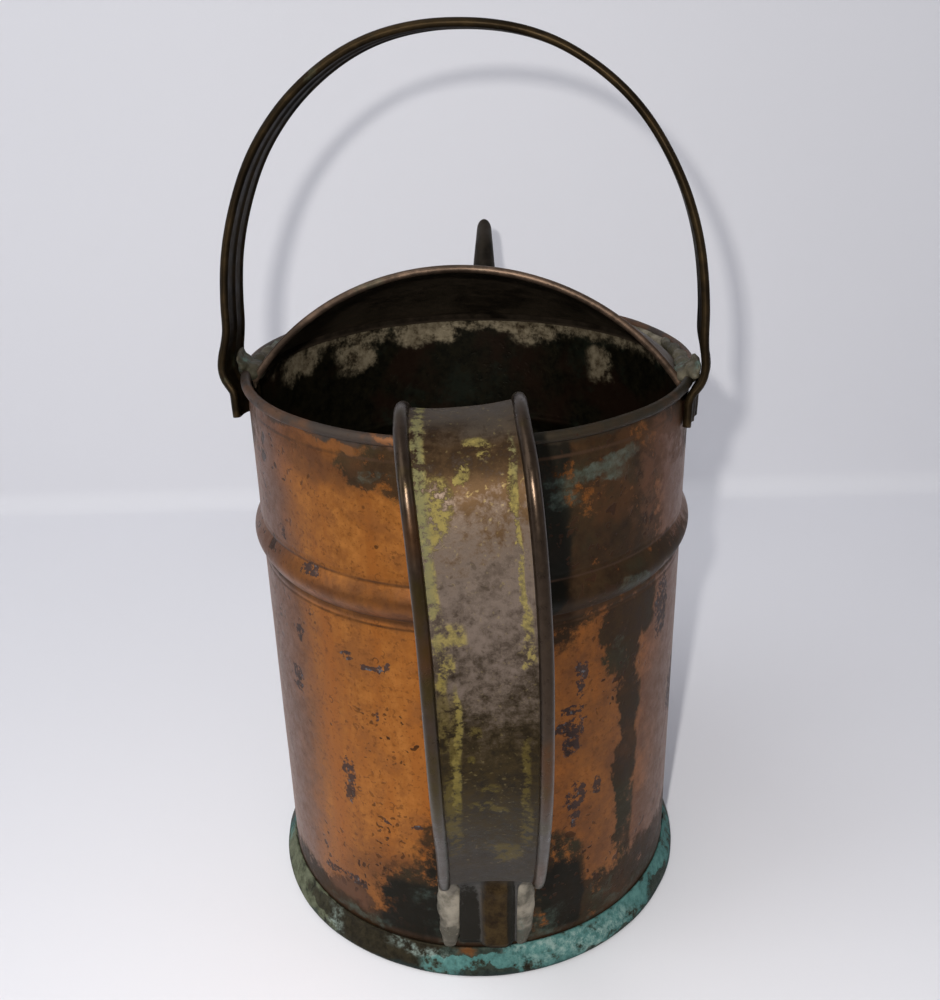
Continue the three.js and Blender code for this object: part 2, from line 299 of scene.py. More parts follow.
def both_faces(path, thickness):
    """The closed outline of a sheet of the given thickness along the path."""
    left, right_side = [], []
    for i, (x, y) in enumerate(path):
        before, after = neighbours(path, i)
        along = Vector((after[0] - before[0], after[1] - before[1])).normalized() * thickness / 2
        left.append((x - along.y, y + along.x))
        right_side.append((x + along.y, y - along.x))
    return left + right_side[::-1]


def uneven(turn, height, scale, seed):
    """Smooth hand-made unevenness from -1 to 1 round the can."""
    return noise.noise(Vector((math.cos(turn) * scale, math.sin(turn) * scale, height * 18 + seed)))


wall_sheet = 0.6 * mm
bead_height, bead_width, bead_rise = 124.3 * mm, 10.0 * mm, 2.1 * mm


def wire_section(node):
    """How far a ring of round wire lies from the can's axis, its height, and the wire's radius."""
    low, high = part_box(node)
    thick = (high.z - low.z) / 2
    return high.x - thick, (low.z + high.z) / 2, thick


rim_line, rim_axis, _ = wire_section("rim_wire")
rim_roll = can_height - rim_axis


def wall_radius(height):
    """The middle of the sheet at a height: plain wall, bead with a crease each side, and neck."""
    radius = can_radius - wall_sheet / 2
    off = (height - bead_height) / (bead_width / 2)
    if abs(off) < 1:
        radius += bead_rise * math.cos(off * math.pi / 2) ** 1.3
    for crease, depth in ((-7.2, 0.16), (-5.0, 0.26), (5.1, 0.12), (6.8, 0.08)):
        radius -= depth * mm * math.exp(-((height - bead_height - crease * mm) / (0.45 * mm)) ** 2)
    rise = held((height - (rim_axis - 7 * mm)) / (5 * mm))
    return radius - 0.6 * mm * rise * rise * (3 - 2 * rise)


def wall_heights():
    low, near_bead, past_bead, top = 1.3 * mm, 114 * mm, 134 * mm, rim_axis - 0.2 * mm
    made = [low + (near_bead - low) * i / 40 for i in range(40)]
    made += [near_bead + (past_bead - near_bead) * i / 50 for i in range(50)]
    made += [past_bead + (top - past_bead) * i / 20 for i in range(21)]
    return made


def dented_wall(turn, radius, height):
    radius += 0.16 * mm * uneven(turn, height, 2.2, 3.0) + 0.05 * mm * uneven(turn, height * 3, 6.0, 9.0)
    bead = math.exp(-((height - bead_height) / (7 * mm)) ** 2)
    height += 0.45 * mm * bead * uneven(turn, 0, 1.3, 5.0)
    top = max(0.0, (height - 160 * mm) / (10 * mm))
    height += 0.28 * mm * top * uneven(turn, 0, 2.6, 1.0)
    return radius, height


wall_path = [(wall_radius(height), height) for height in wall_heights()]
wall_path += bow_points((rim_line, rim_axis), rim_roll - wall_sheet / 2, 176, -150, 26)
body = bare_object("body_wall", *turned_ring(both_faces(wall_path, wall_sheet), dented_wall))


def round_bar(name, start, end, start_radius, end_radius, steps=64):
    """A plain tapered bar between two points, used to cut holes."""
    along = (end - start).normalized()
    side = along.orthogonal().normalized()
    other = along.cross(side)
    rings = []
    for middle, radius in ((start, start_radius), (end, end_radius)):
        rings.append([middle + radius * (cos * side + sin * other) for cos, sin in circle(steps)])
    return bare_object(name, *skin(rings))


def set_shape(made):
    """Makes what a piece's modifiers give its own shape."""
    worked = made.evaluated_get(bpy.context.evaluated_depsgraph_get())
    shape = bpy.data.meshes.new_from_object(worked)
    made.modifiers.clear()
    made.data = shape
    shape.shade_smooth()


def cut(made, cutter):
    """Cuts a piece with another, which is then thrown away."""
    tool = made.modifiers.new("cut", "BOOLEAN")
    tool.operation = "DIFFERENCE"
    tool.solver = "EXACT"
    tool.object = cutter
    set_shape(made)
    bpy.data.objects.remove(cutter)


spout_turn = math.radians(2.8)
spout_slope = math.radians(50.94)
spout_reach = 105.5 * mm
spout_root = Vector((0, can_radius, 44 * mm))
spout_line = Vector((0, math.cos(spout_slope), math.sin(spout_slope)))
spout_length = spout_reach / math.cos(spout_slope)
root_radius, tip_radius, spout_sheet = 17 * mm, 3.1 * mm, 0.7 * mm
spout_spin = Matrix.Rotation(-spout_turn, 4, "Z")
tuck = 44 * mm
taper = (root_radius - tip_radius) / spout_length
bore_start = spout_spin @ (spout_root - spout_line * tuck)
bore_end = spout_spin @ (spout_root + spout_line * tuck)
bore = round_bar("bore", bore_start, bore_end, root_radius + taper * tuck - spout_sheet,
                 root_radius - taper * tuck - spout_sheet)
cut(body, bore)


def calc(tree, operation, *values):
    return add(tree, "ShaderNodeMath", enumerate(values), operation=operation).outputs[0]


def times(tree, first, second):
    return calc(tree, "MULTIPLY", first, second)


def plus(tree, first, second):
    return calc(tree, "ADD", first, second)


def minus(tree, first, second):
    return calc(tree, "SUBTRACT", first, second)


def most(tree, first, second):
    return calc(tree, "MAXIMUM", first, second)


def laid(tree, under, mask, strength, over):
    """One colour over another where the mask is, at no more than the given strength."""
    return blend(tree, times(tree, mask, strength), under, over)


def blend_values(tree, share, first, second):
    return add(tree, "ShaderNodeMix", {0: share, 2: first, 3: second}, data_type="FLOAT").outputs[0]


def span(tree, value, low, high, start=0.0, end=1.0):
    """Value spread smoothly from low..high to start..end, and held at both ends."""
    inputs = {"Value": value, "From Min": low, "From Max": high, "To Min": start, "To Max": end}
    return add(tree, "ShaderNodeMapRange", inputs, interpolation_type="SMOOTHSTEP").outputs[0]


def mottled(tree, value, low, high, first, second):
    """The first colour where a value is low, the second where it is high."""
    return blend(tree, span(tree, value, low, high), first, second)


def ragged(tree, mask, grain, spread=1.2, low=0.3, high=0.6):
    """A soft mask eaten into by a noise, so that its edge crumbles and its middle is worn."""
    worn = span(tree, grain, 0.34, 0.66, 1.0 - spread / 2, 1.0 + spread / 2)
    return span(tree, times(tree, mask, worn), low, high)


def new_group(name, inputs, outputs):
    """An empty node group: its Point is a vector, its Color a colour, and the rest are numbers."""
    kinds = {"Point": "Vector", "Color": "Color"}
    tree = bpy.data.node_groups.new(name, "ShaderNodeTree")
    for way, labels in (("INPUT", inputs), ("OUTPUT", outputs)):
        for label in labels.split(", "):
            kind = "NodeSocket" + kinds.get(label, "Float")
            tree.interface.new_socket(label, in_out=way, socket_type=kind)
    return tree, tree.nodes.new("NodeGroupInput").outputs, tree.nodes.new("NodeGroupOutput").inputs


def use(tree, group, **inputs):
    """Places a group and feeds it."""
    made = add(tree, "ShaderNodeGroup", node_tree=group)
    wire_up(tree, made, **inputs)
    return made.outputs


# Round the can: degrees from the handle line and millimetres above the base, with ragged drift.
can_place, given, result = new_group("place_on_can", "Drift", "Around, Up, Point")
point = object_place(can_place)
parts = split(can_place, point)
angle = calc(can_place, "ARCTAN2", parts[0], times(can_place, parts[1], -1.0))
drift = add(can_place, "ShaderNodeTexNoise",
            {"Vector": point, "Scale": 75.0, "Detail": 5.0, "Roughness": 0.62})
sway = split(can_place, drift.outputs["Color"])
for socket, value, unit in (("Around", angle, 180 / math.pi), ("Up", parts[2], 1000.0)):
    shift = minus(can_place, sway[0 if socket == "Around" else 1], 0.5)
    shift = times(can_place, shift, given["Drift"])
    moved = plus(can_place, times(can_place, value, unit), shift)
    can_place.links.new(moved, result[socket])
can_place.links.new(point, result["Point"])

# One stain: 1 inside an ellipse, falling to 0 over its edge.
stain, given, result = new_group(
    "stain", "Across, Up, Mid Across, Mid Up, Half Width, Half Height, Edge", "Mask")
far_across = calc(stain, "DIVIDE", minus(stain, given["Across"], given["Mid Across"]), given["Half Width"])
far_up = calc(stain, "DIVIDE", minus(stain, given["Up"], given["Mid Up"]), given["Half Height"])
far_out = calc(stain, "SQRT", plus(stain, calc(stain, "POWER", calc(stain, "ABSOLUTE", far_across), 2.6),
                                   calc(stain, "POWER", calc(stain, "ABSOLUTE", far_up), 2.6)))
inside = minus(stain, 1.0, given["Edge"])
outside = plus(stain, 1.0, given["Edge"])
stain.links.new(span(stain, far_out, outside, inside), result["Mask"])


def stains(tree, across, up, places, edge=0.25):
    """The union of several stains, each (across, up, half width, half height)."""
    total = 0.0
    for mid_across, mid_up, half_width, half_height in places:
        one = use(tree, stain, Across=across, Up=up, Mid_Across=mid_across, Mid_Up=mid_up,
                  Half_Width=half_width, Half_Height=half_height, Edge=edge)[0]
        total = most(tree, total, one)
    return total


# Pits: small dark spots of uneven size; Amount is the share of places that hold one.
pits, given, result = new_group("pits", "Point, Scale, Amount", "Mask")
wobbly = add(pits, "ShaderNodeTexNoise", {"Vector": given["Point"], "Scale": 260.0, "Detail": 2.0})
bent = add(pits, "ShaderNodeMix", {0: 0.006, 4: given["Point"], 5: wobbly.outputs["Color"]},
           data_type="VECTOR")
cells = add(pits, "ShaderNodeTexVoronoi", {"Vector": bent.outputs[1], "Scale": given["Scale"]})
chance = split(pits, cells.outputs["Color"])
size = times(pits, span(pits, chance[0], minus(pits, 1.0, given["Amount"]), 1.0), 0.42)
spot = minus(pits, size, cells.outputs["Distance"])
pits.links.new(span(pits, spot, -0.03, 0.07), result["Mask"])

# Fine ring marks, like dried droplets: thin broken circles.
droplets, given, result = new_group("droplet_rings", "Point, Scale, Amount", "Mask")
cells = add(droplets, "ShaderNodeTexVoronoi", {"Vector": given["Point"], "Scale": given["Scale"]})
chance = split(droplets, cells.outputs["Color"])
edge_off = calc(droplets, "ABSOLUTE", minus(droplets, cells.outputs["Distance"], 0.2))
thin = span(droplets, edge_off, 0.05, 0.015)
picked = span(droplets, chance[1], minus(droplets, 1.0, given["Amount"]), 1.0)
broken = span(droplets, cloud(droplets, given["Point"], 420.0, 2.0), 0.44, 0.56)
made = times(droplets, times(droplets, thin, picked), broken)
droplets.links.new(made, result["Mask"])

# Verdigris: powdery green that gathers in patches, as a mask and a colour.
verdigris, given, result = new_group("verdigris", "Point, Low, High", "Mask, Color")
broad = cloud(verdigris, given["Point"], 60.0, 5.0, 0.65)
fine = cloud(verdigris, given["Point"], 420.0, 4.0, 0.7)
both = plus(verdigris, times(verdigris, broad, 0.75), times(verdigris, fine, 0.25))
verdigris.links.new(span(verdigris, both, given["Low"], given["High"]), result["Mask"])
green = mottled(verdigris, fine, 0.35, 0.68, (0.045, 0.115, 0.105), (0.21, 0.36, 0.33))
pale = span(verdigris, cloud(verdigris, given["Point"], 150.0, 5.0, 0.7), 0.55, 0.75)
verdigris.links.new(blend(verdigris, pale, green, (0.36, 0.46, 0.4)), result["Color"])

# Worn edges: 1 on raised edges that hands and cloths polish.
edge_wear, given, result = new_group("edge_wear", "Point, Low, High", "Mask")
raised = add(edge_wear, "ShaderNodeNewGeometry").outputs["Pointiness"]
raised = plus(edge_wear, raised, times(edge_wear, cloud(edge_wear, given["Point"], 220.0), 0.03))
edge_wear.links.new(span(edge_wear, raised, given["Low"], given["High"]), result["Mask"])


def copper_wall():
    made, tree, shader = new_material("aged_copper")
    place = use(tree, can_place, Drift=11.0)
    around, up, point = place["Around"], place["Up"], place["Point"]
    patchy = cloud(tree, point, 70.0, 8.0, 0.68)
    grain = cloud(tree, point, 300.0, 8.0, 0.75)
    tiny = cloud(tree, point, 1300.0, 4.0, 0.6)
    streaks = cloud(tree, point, 90.0, 6.0, 0.65, (1.0, 1.0, 0.12))
    coarse = blend_values(tree, 0.45, patchy, grain)

    orange = mottled(tree, grain, 0.3, 0.7, (0.275, 0.098, 0.02), (0.47, 0.182, 0.04))
    orange = mottled(tree, streaks, 0.4, 0.64, orange, (0.33, 0.112, 0.022))
    orange = blend(tree, span(tree, patchy, 0.48, 0.64, 0.0, 0.65), orange, (0.235, 0.088, 0.026))
    # Paler, pinker copper towards the sides and back as the camera sees them: painted reflection of the
    # pale room at grazing angles.
    reflected_pink = mottled(tree, coarse, 0.35, 0.65, (0.16, 0.084, 0.058), (0.28, 0.158, 0.113))
    far_side = calc(tree, "ABSOLUTE", around)
    sides = span(tree, plus(tree, far_side, times(tree, coarse, 26.0)), 57.0, 74.0)
    colour = laid(tree, orange, sides, 0.85, reflected_pink)

    # A thin brown film over the shoulder and the bead. The broad patch over the right side is partly brown
    # film and partly painted shade, for the side that gets less light.
    film_and_side_shade = stains(tree, around, up, [
        (-50, 163, 40, 8), (0, 124, 200, 6.5), (46, 80, 36, 90), (-60, 90, 14, 80), (120, 90, 50, 90),
        (-130, 90, 40, 90), (180, 90, 40, 90), (-20, 30, 16, 10), (44, 146, 36, 24), (20, 20, 60, 22),
        (146, 108, 26, 30), (-150, 84, 20, 40),
    ], 0.6)
    film_and_side_shade = times(tree, film_and_side_shade, span(tree, coarse, 0.34, 0.6, 0.3, 0.9))
    colour = blend(tree, film_and_side_shade, colour, (0.125, 0.052, 0.022))
    peppered = span(tree, cloud(tree, point, 760.0, 5.0, 0.7), 0.53, 0.66, 0.0, 0.6)
    colour = blend(tree, peppered, colour, (0.115, 0.042, 0.014))

    # Dark oxide: the rim, the upper right, a run down the right side and the foot of the wall.
    rolled = span(tree, up, rim_axis / mm - 3.2, rim_axis / mm - 1.8)
    oxide = stains(tree, around, up, [
        (-20, 162, 12, 6.5), (-13, 161, 9, 10), (0, 160, 15, 12), (28, 153, 11, 9), (45, 166, 60, 7),
        (22, 140, 13, 30), (40, 143, 15, 22), (36, 124, 40, 7), (40, 108, 7, 12), (43.5, 70, 4.2, 54),
        (46, 112, 8, 10), (21, 26, 8, 20), (0, 24, 17, 30), (-28, 8, 26, 13), (-17, 18, 12, 18),
        (42, 14, 34, 15), (-50, 10, 26, 9), (66, 12, 60, 14), (0, 60, 12, 60), (100, 158, 40, 10),
        (-110, 160, 40, 12), (140, 20, 24, 15), (180, 12, 80, 12), (152, 118, 9, 10), (147, 98, 5, 14),
        (150, 80, 3, 16), (-150, 96, 6, 16), (-146, 72, 4, 20), (-154, 112, 10, 6), (-100, 22, 16, 16),
        (120, 140, 12, 5), (-112, 126, 9, 5), (96, 96, 4, 12),
    ], 0.7)
    oxide = most(tree, ragged(tree, oxide, coarse, 1.3, 0.3, 0.72), rolled)
    tone = mottled(tree, grain, 0.3, 0.7, (0.009, 0.006, 0.003), (0.034, 0.021, 0.009))
    greenish = span(tree, cloud(tree, point, 42.0, 5.0), 0.47, 0.63)
    tone = laid(tree, tone, greenish, 0.8, (0.017, 0.022, 0.012))
    warm = span(tree, cloud(tree, point, 33.0, 5.0, 0.65), 0.5, 0.66)
    tone = laid(tree, tone, warm, 0.8, (0.062, 0.027, 0.01))
    colour = laid(tree, colour, oxide, 0.93, tone)

    # Near-black patches. The tall one right of the strap is the strap's painted shadow on the wall. The low
    # ones round the tail are partly painted shade under the strap's bend and partly dark oxide.
    strap_shadow_and_dark_patches = stains(tree, around, up,
                  [(16.5, 147, 6, 27), (0, 25, 13, 24), (22, 22, 6, 14), (-17, 17, 12, 13)], 0.7)
    colour = laid(tree, colour, ragged(tree, strap_shadow_and_dark_patches, coarse, 1.0, 0.22, 0.6), 0.85, (0.005, 0.006, 0.004))

    # The rolled edge is grey brown, with copper showing along its underside at the front left and a painted
    # highlight along the top of the lip there.
    edge_tone = mottled(tree, patchy, 0.42, 0.6, (0.048, 0.039, 0.034), (0.1, 0.052, 0.03))
    mossy = ragged(tree, stains(tree, around, up, [(38, 168, 36, 12)], 0.6), coarse, 1.2)
    edge_tone = laid(tree, edge_tone, mossy, 0.8, (0.016, 0.017, 0.011))
    colour = laid(tree, colour, rolled, 0.85, edge_tone)
    # Copper line under the roll (bare copper) and along its top (painted highlight), both at the front
    # left.
    lip_copper_and_highlight = stains(tree, around, up, [(-34, 165.6, 10, 0.9), (-14, 169.4, 7, 0.5)], 0.8)
    colour = laid(tree, colour, ragged(tree, lip_copper_and_highlight, coarse, 1.6), 0.45, (0.26, 0.1, 0.032))

    # Pinkish brown islands in the oxide on the upper right and low on the left.
    island = stains(tree, around, up, [(58, 150, 14, 18), (60, 112, 7, 6), (-38, 17, 9, 3.5)], 0.9)
    island = ragged(tree, island, coarse, 1.8, 0.25, 1.05)
    colour = laid(tree, colour, island, 0.6, (0.15, 0.068, 0.038))

    # Blue-black burns and pits.
    burns = stains(tree, around, up, [
        (25.5, 80, 2.6, 5.0), (25.5, 59, 2.8, 5.0), (27, 50, 1.6, 2.4), (24, 88, 2.6, 1.4),
        (26, 97, 1.2, 6), (22, 84, 2.2, 1.2), (32, 60, 1.2, 2.6), (-25, 102.5, 3.4, 1.1),
        (-34, 104, 2.6, 1.5), (-51, 104, 1.5, 2.6), (-54, 87, 2.6, 4), (-35, 65, 1.5, 5),
        (-15, 52, 2.0, 0.9), (-36, 23, 3.6, 2.0), (-45, 24, 4, 1.6), (57, 106, 4, 9), (-27, 87, 0.9, 1.2),
        (-36, 58, 1.6, 3), (-24, 52, 1.0, 0.8), (-42, 128, 2.6, 1.6), (-54, 136, 1.6, 2.2), (75, 70, 6, 10),
        (-80, 60, 5, 8), (-95, 120, 6, 5), (120, 60, 7, 10), (165, 90, 5, 7),
    ], 0.7)
    burns = ragged(tree, burns, cloud(tree, point, 560.0, 5.0, 0.75), 1.9, 0.42, 0.66)
    colour = laid(tree, colour, burns, 0.88, (0.032, 0.024, 0.024))
    core = times(tree, burns, span(tree, cloud(tree, point, 620.0, 2.0), 0.6, 0.72))
    colour = laid(tree, colour, core, 0.5, (0.16, 0.19, 0.22))

    # Specks, gathered in drifts, and the thin rings that drops leave.
    drifts = span(tree, cloud(tree, point, 24.0, 4.0), 0.44, 0.62, 0.15, 1.0)
    small = times(tree, use(tree, pits, Point=point, Scale=520.0, Amount=0.55)[0], drifts)
    large = times(tree, use(tree, pits, Point=point, Scale=210.0, Amount=0.1)[0], drifts)
    rings = use(tree, droplets, Point=point, Scale=230.0, Amount=0.5)[0]
    marks = most(tree, most(tree, small, large), times(tree, rings, 0.85))
    colour = laid(tree, colour, marks, 0.9, (0.034, 0.015, 0.007))

    # Painted shade, with some dirt, darkening the creases of the bead, the crease under the roll of the rim
    # and the seat of the foot.
    level = times(tree, split(tree, point)[2], 1000.0)
    crease_shade_and_dirt = stains(tree, 0.0, level, [
        (0, 129.7, 1, 0.35), (0, 119.0, 1, 0.9), (0, 116.7, 1, 0.3), (0, 9.6, 1, 1.6), (0, 163.4, 1, 0.4),
    ], 0.9)
    crease_shade_and_dirt = times(tree, crease_shade_and_dirt, span(tree, streaks, 0.3, 0.6, 0.25, 1.0))
    colour = laid(tree, colour, crease_shade_and_dirt, 0.7, (0.06, 0.032, 0.018))

    # Verdigris: a whitish tide line under the rim, flecks on the right and a bloom at the foot.
    tide = stains(tree, around, up, [
        (-20, 158.5, 7, 1.8), (27, 157.5, 12, 2.2), (40, 160, 8, 1.6), (22, 153, 5, 3), (36, 156, 4, 2.4),
        (43, 121, 6, 2.4), (38, 104, 2, 2.4), (42, 97, 1.6, 2), (34, 20, 5, 5), (16, 16, 8, 4),
        (-12, 22, 7, 7), (-24, 12, 9, 3), (30, 12, 40, 1.8), (-60, 11, 40, 1.6), (110, 160, 22, 3),
        (-140, 158, 20, 3), (180, 20, 30, 6),
    ], 0.9)
    powder = use(tree, verdigris, Point=point, Low=0.44, High=0.66)
    chalk = times(tree, ragged(tree, tide, coarse, 1.4, 0.25, 0.8), powder["Mask"])
    dusty = blend(tree, 0.7, powder["Color"], (0.085, 0.09, 0.06))
    colour = laid(tree, colour, chalk, 0.48, dusty)

    # The inside is nearly black, with a limescale line where the water stood.
    flat_point = add(tree, "ShaderNodeVectorMath", {0: point, 1: (1, 1, 0)},
                     operation="MULTIPLY").outputs[0]
    facing = add(tree, "ShaderNodeNewGeometry").outputs["Normal"]
    turned_out = add(tree, "ShaderNodeVectorMath", {0: facing, 1: flat_point}, operation="DOT_PRODUCT")
    inside = span(tree, turned_out.outputs["Value"], 0.002, -0.002)
    below_rim = span(tree, level, rim_axis / mm - 1.0, rim_axis / mm - 3.0)
    inside = times(tree, inside, below_rim)
    sludge = mottled(tree, grain, 0.3, 0.7, (0.002, 0.002, 0.001), (0.011, 0.009, 0.004))
    rusty = span(tree, cloud(tree, point, 45.0, 4.0), 0.48, 0.64)
    sludge = laid(tree, sludge, rusty, 0.8, (0.014, 0.006, 0.003))
    damp = span(tree, cloud(tree, point, 60.0, 4.0, 0.7), 0.55, 0.68)
    sludge = laid(tree, sludge, damp, 0.6, (0.011, 0.015, 0.01))
    lime = stains(tree, around, up, [
        (180, 165, 82, 5.0), (-180, 165, 82, 5.0), (136, 152, 5.0, 6.0), (158, 161, 8, 4.5),
        (-168, 161, 10, 4.5), (-143, 157, 7, 6), (-120, 158, 8, 4),
    ], 0.9)
    lime = ragged(tree, lime, coarse, 1.4, 0.22, 0.95)
    scale_tone = mottled(tree, grain, 0.34, 0.66, (0.085, 0.062, 0.036), (0.3, 0.25, 0.17))
    sludge = laid(tree, sludge, lime, 0.88, scale_tone)
    colour = blend(tree, inside, colour, sludge)

    dull = most(tree, most(tree, oxide, inside), most(tree, chalk, burns))
    rough = plus(tree, span(tree, grain, 0.25, 0.75, 0.33, 0.5), times(tree, dull, 0.14))
    height = plus(tree, times(tree, grain, 0.55), times(tree, tiny, 0.15))
    height = minus(tree, height, times(tree, marks, 0.5))
    height = plus(tree, height, times(tree, chalk, 0.7))
    bump = dents(tree, height, 0.6, 0.00022)
    wire_up(tree, shader, Base_Color=colour, Roughness=rough, Normal=bump,
            Metallic=span(tree, dull, 0.1, 0.9, 0.95, 0.55))
    return made


finish_piece(body, copper_wall(), "copper", "body_shell")

# ------------------------------------------------------------
# Rim wire. A round iron wire that the mouth of the body is rolled over. It stiffens the mouth, and
# is shut in but for the slit where the roll ends.
# ------------------------------------------------------------


def iron_wire():
    made, tree, shader = new_material("iron_wire")
    point = object_place(tree)
    fine = cloud(tree, point, 500.0, 5.0, 0.65)
    rust = span(tree, cloud(tree, point, 110.0, 4.0), 0.42, 0.62)
    colour = blend(tree, fine, (0.13, 0.12, 0.115), (0.3, 0.285, 0.27))
    colour = blend(tree, rust, colour, (0.13, 0.05, 0.02))
    bump = dents(tree, fine, 0.5, 0.0001)
    wire_up(tree, shader, Base_Color=colour, Normal=bump, Roughness=span(tree, fine, 0.3, 0.7, 0.45, 0.7),
            Metallic=span(tree, rust, 0.0, 1.0, 0.9, 0.3))
    return made


iron = iron_wire()


def wire_ring(name, node):
    line, axis, thick = wire_section(node)
    profile = bow_points((line, axis), thick, 0, 345, 23)
    return finish_piece(bare_object(name, *turned_ring(profile, steps=192)), iron, "wire", node)


wire_ring("rim_wire_ring", "rim_wire")

# ------------------------------------------------------------
# Base. A copper disc dished a little upwards, let in at the foot of the wall and soldered inside.
# Its underside is dull and brown, with verdigris where it stood in the wet.
# ------------------------------------------------------------


def dull_copper():
    made, tree, shader = new_material("dull_copper")
    point = object_place(tree)
    fine = cloud(tree, point, 240.0, 6.0, 0.65)
    broad = cloud(tree, point, 30.0, 4.0)
    colour = blend(tree, fine, (0.05, 0.032, 0.02), (0.15, 0.085, 0.045))
    powder = use(tree, verdigris, Point=point, Low=0.52, High=0.66)
    colour = laid(tree, colour, powder["Mask"], 0.6, powder["Color"])
    colour = mottled(tree, broad, 0.5, 0.7, colour, (0.03, 0.024, 0.014))
    bump = dents(tree, fine, 0.5, 0.0003)
    wire_up(tree, shader, Base_Color=colour, Normal=bump, Metallic=span(tree, fine, 0.3, 0.7, 0.5, 0.75),
            Roughness=span(tree, fine, 0.3, 0.7, 0.5, 0.75))
    return made


base_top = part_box("base_disc")[1].z
base_profile = [(0.02 * mm, 0.3 * mm), (can_radius * 0.8, 0.3 * mm), (can_radius * 0.86, 0.0),
                (can_radius - 0.4 * mm, 0.0), (can_radius - 0.05 * mm, 0.3 * mm),
                (can_radius - 0.05 * mm, base_top - 0.2 * mm), (can_radius - 0.3 * mm, base_top),
                (can_radius * 0.86, base_top), (can_radius * 0.8, base_top + 0.2 * mm),
                (0.02 * mm, base_top + 0.2 * mm)]


def dished(turn, radius, height):
    return radius, height + (0.15 * mm * uneven(turn, radius, 1.6,
                                                7.0) if 5 * mm < radius < 48 * mm else 0.0)


base = bare_object("base_plate", *turned_ring(base_profile, dished, 144))
finish_piece(base, dull_copper(), "rim", "base_disc")

# ------------------------------------------------------------
# Foot. A copper band soldered round the wall, flared outwards and rolled under over an iron wire.
# It stood in the wet, so verdigris covers most of it.
# ------------------------------------------------------------
foot_radius, _, foot_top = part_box("foot_ring")[1]
foot_sheet = 0.6 * mm
foot_line, foot_axis, _ = wire_section("foot_wire")
foot_roll = foot_radius - foot_line
seat = can_radius + 0.45 * mm
foot_path = [(seat, foot_top), (seat + 0.05 * mm, foot_top - 0.8 * mm),
             (seat + 0.5 * mm, foot_top - 1.9 * mm),
             (seat + 1.25 * mm, foot_top - 3.2 * mm), (seat + 1.95 * mm, foot_top - 4.5 * mm),
             (seat + 2.5 * mm, foot_top - 5.6 * mm)]
foot_path += bow_points((foot_line, foot_axis), foot_roll - foot_sheet / 2, 30, -215, 22)


def uneven_foot(turn, radius, height):
    free = held((foot_top - height) / (4 * mm))
    radius += free * (0.32 * mm * uneven(turn, 0, 2.4, 11.0) + 0.12 * mm * uneven(turn, height, 7.0, 2.0))
    return radius, height


def green_foot():
    made, tree, shader = new_material("verdigris_foot")
    place = use(tree, can_place, Drift=14.0)
    around, up, point = place["Around"], place["Up"], place["Point"]
    grain = cloud(tree, point, 420.0, 8.0, 0.75)
    patchy = cloud(tree, point, 95.0, 8.0, 0.7)
    coarse = blend_values(tree, 0.45, patchy, grain)
    brown = mottled(tree, grain, 0.3, 0.7, (0.01, 0.008, 0.004), (0.036, 0.029, 0.015))
    olive = mottled(tree, coarse, 0.36, 0.62, (0.04, 0.046, 0.025), (0.145, 0.155, 0.1))
    teal = mottled(tree, coarse, 0.34, 0.64, (0.014, 0.062, 0.062), (0.095, 0.22, 0.2))
    green = stains(tree, around, up, [(50, 5, 46, 14), (4, 4, 22, 9), (-100, 5, 18, 12), (170, 5, 60, 12)],
                   0.9)
    green = blend(tree, ragged(tree, green, coarse, 1.6, 0.2, 0.9), olive, teal)
    cover = stains(tree, around, up, [
        (48, 5, 44, 14), (-66, 5, 22, 14), (170, 5, 70, 14), (-150, 5, 40, 14), (0, 4, 16, 6),
    ], 0.8)
    cover = ragged(tree, cover, coarse, 1.6, 0.26, 0.72)
    bare = stains(tree, around, up, [
        (-30, 4, 13, 7), (-8, 8.5, 14, 1.8), (2, 1.2, 7, 2.2), (60, 2.2, 7, 3), (40, 1.5, 12, 1.6),
        (-50, 7, 8, 2.0), (110, 4, 10, 4), (-110, 4, 14, 5),
    ], 0.9)
    cover = times(tree, cover, span(tree, ragged(tree, bare, coarse, 1.3), 0.0, 1.0, 1.0, 0.15))
    colour = blend(tree, cover, brown, green)
    chalk = stains(tree, around, up,
                   [(-45, 5, 3.5, 4), (-17, 7.5, 7, 1.5), (16, 8.5, 10, 1.2), (28, 6, 16, 3)], 0.8)
    chalk = times(tree, chalk, span(tree, grain, 0.44, 0.66))
    colour = laid(tree, colour, chalk, 0.7, (0.3, 0.38, 0.34))
    rust = stains(tree, around, up, [(-4, 8.4, 2.6, 1.2)], 0.8)
    colour = laid(tree, colour, rust, 0.85, (0.15, 0.058, 0.016))
    under = span(tree, up, 2.6, 0.6)
    colour = laid(tree, colour, under, 0.7, (0.016, 0.03, 0.03))
    height = plus(tree, times(tree, cover, 0.4), times(tree, grain, 0.9))
    bump = dents(tree, height, 0.8, 0.0004)
    wire_up(tree, shader, Base_Color=colour, Normal=bump, Metallic=span(tree, cover, 0.1, 0.8, 0.5, 0.03),
            Roughness=span(tree, cover, 0.0, 1.0, 0.55, 0.85))
    return made


foot = bare_object("foot_band", *turned_ring(both_faces(foot_path, foot_sheet), uneven_foot))
finish_piece(foot, green_foot(), "foot", "foot_ring")
wire_ring("foot_wire_ring", "foot_wire")

# ------------------------------------------------------------
# Spout. Sheet rolled into a long cone and soldered to the wall low down, its tip cut upright so
# that it pours level. A dark brown skin covers it.
# ------------------------------------------------------------
spout_sides = 72


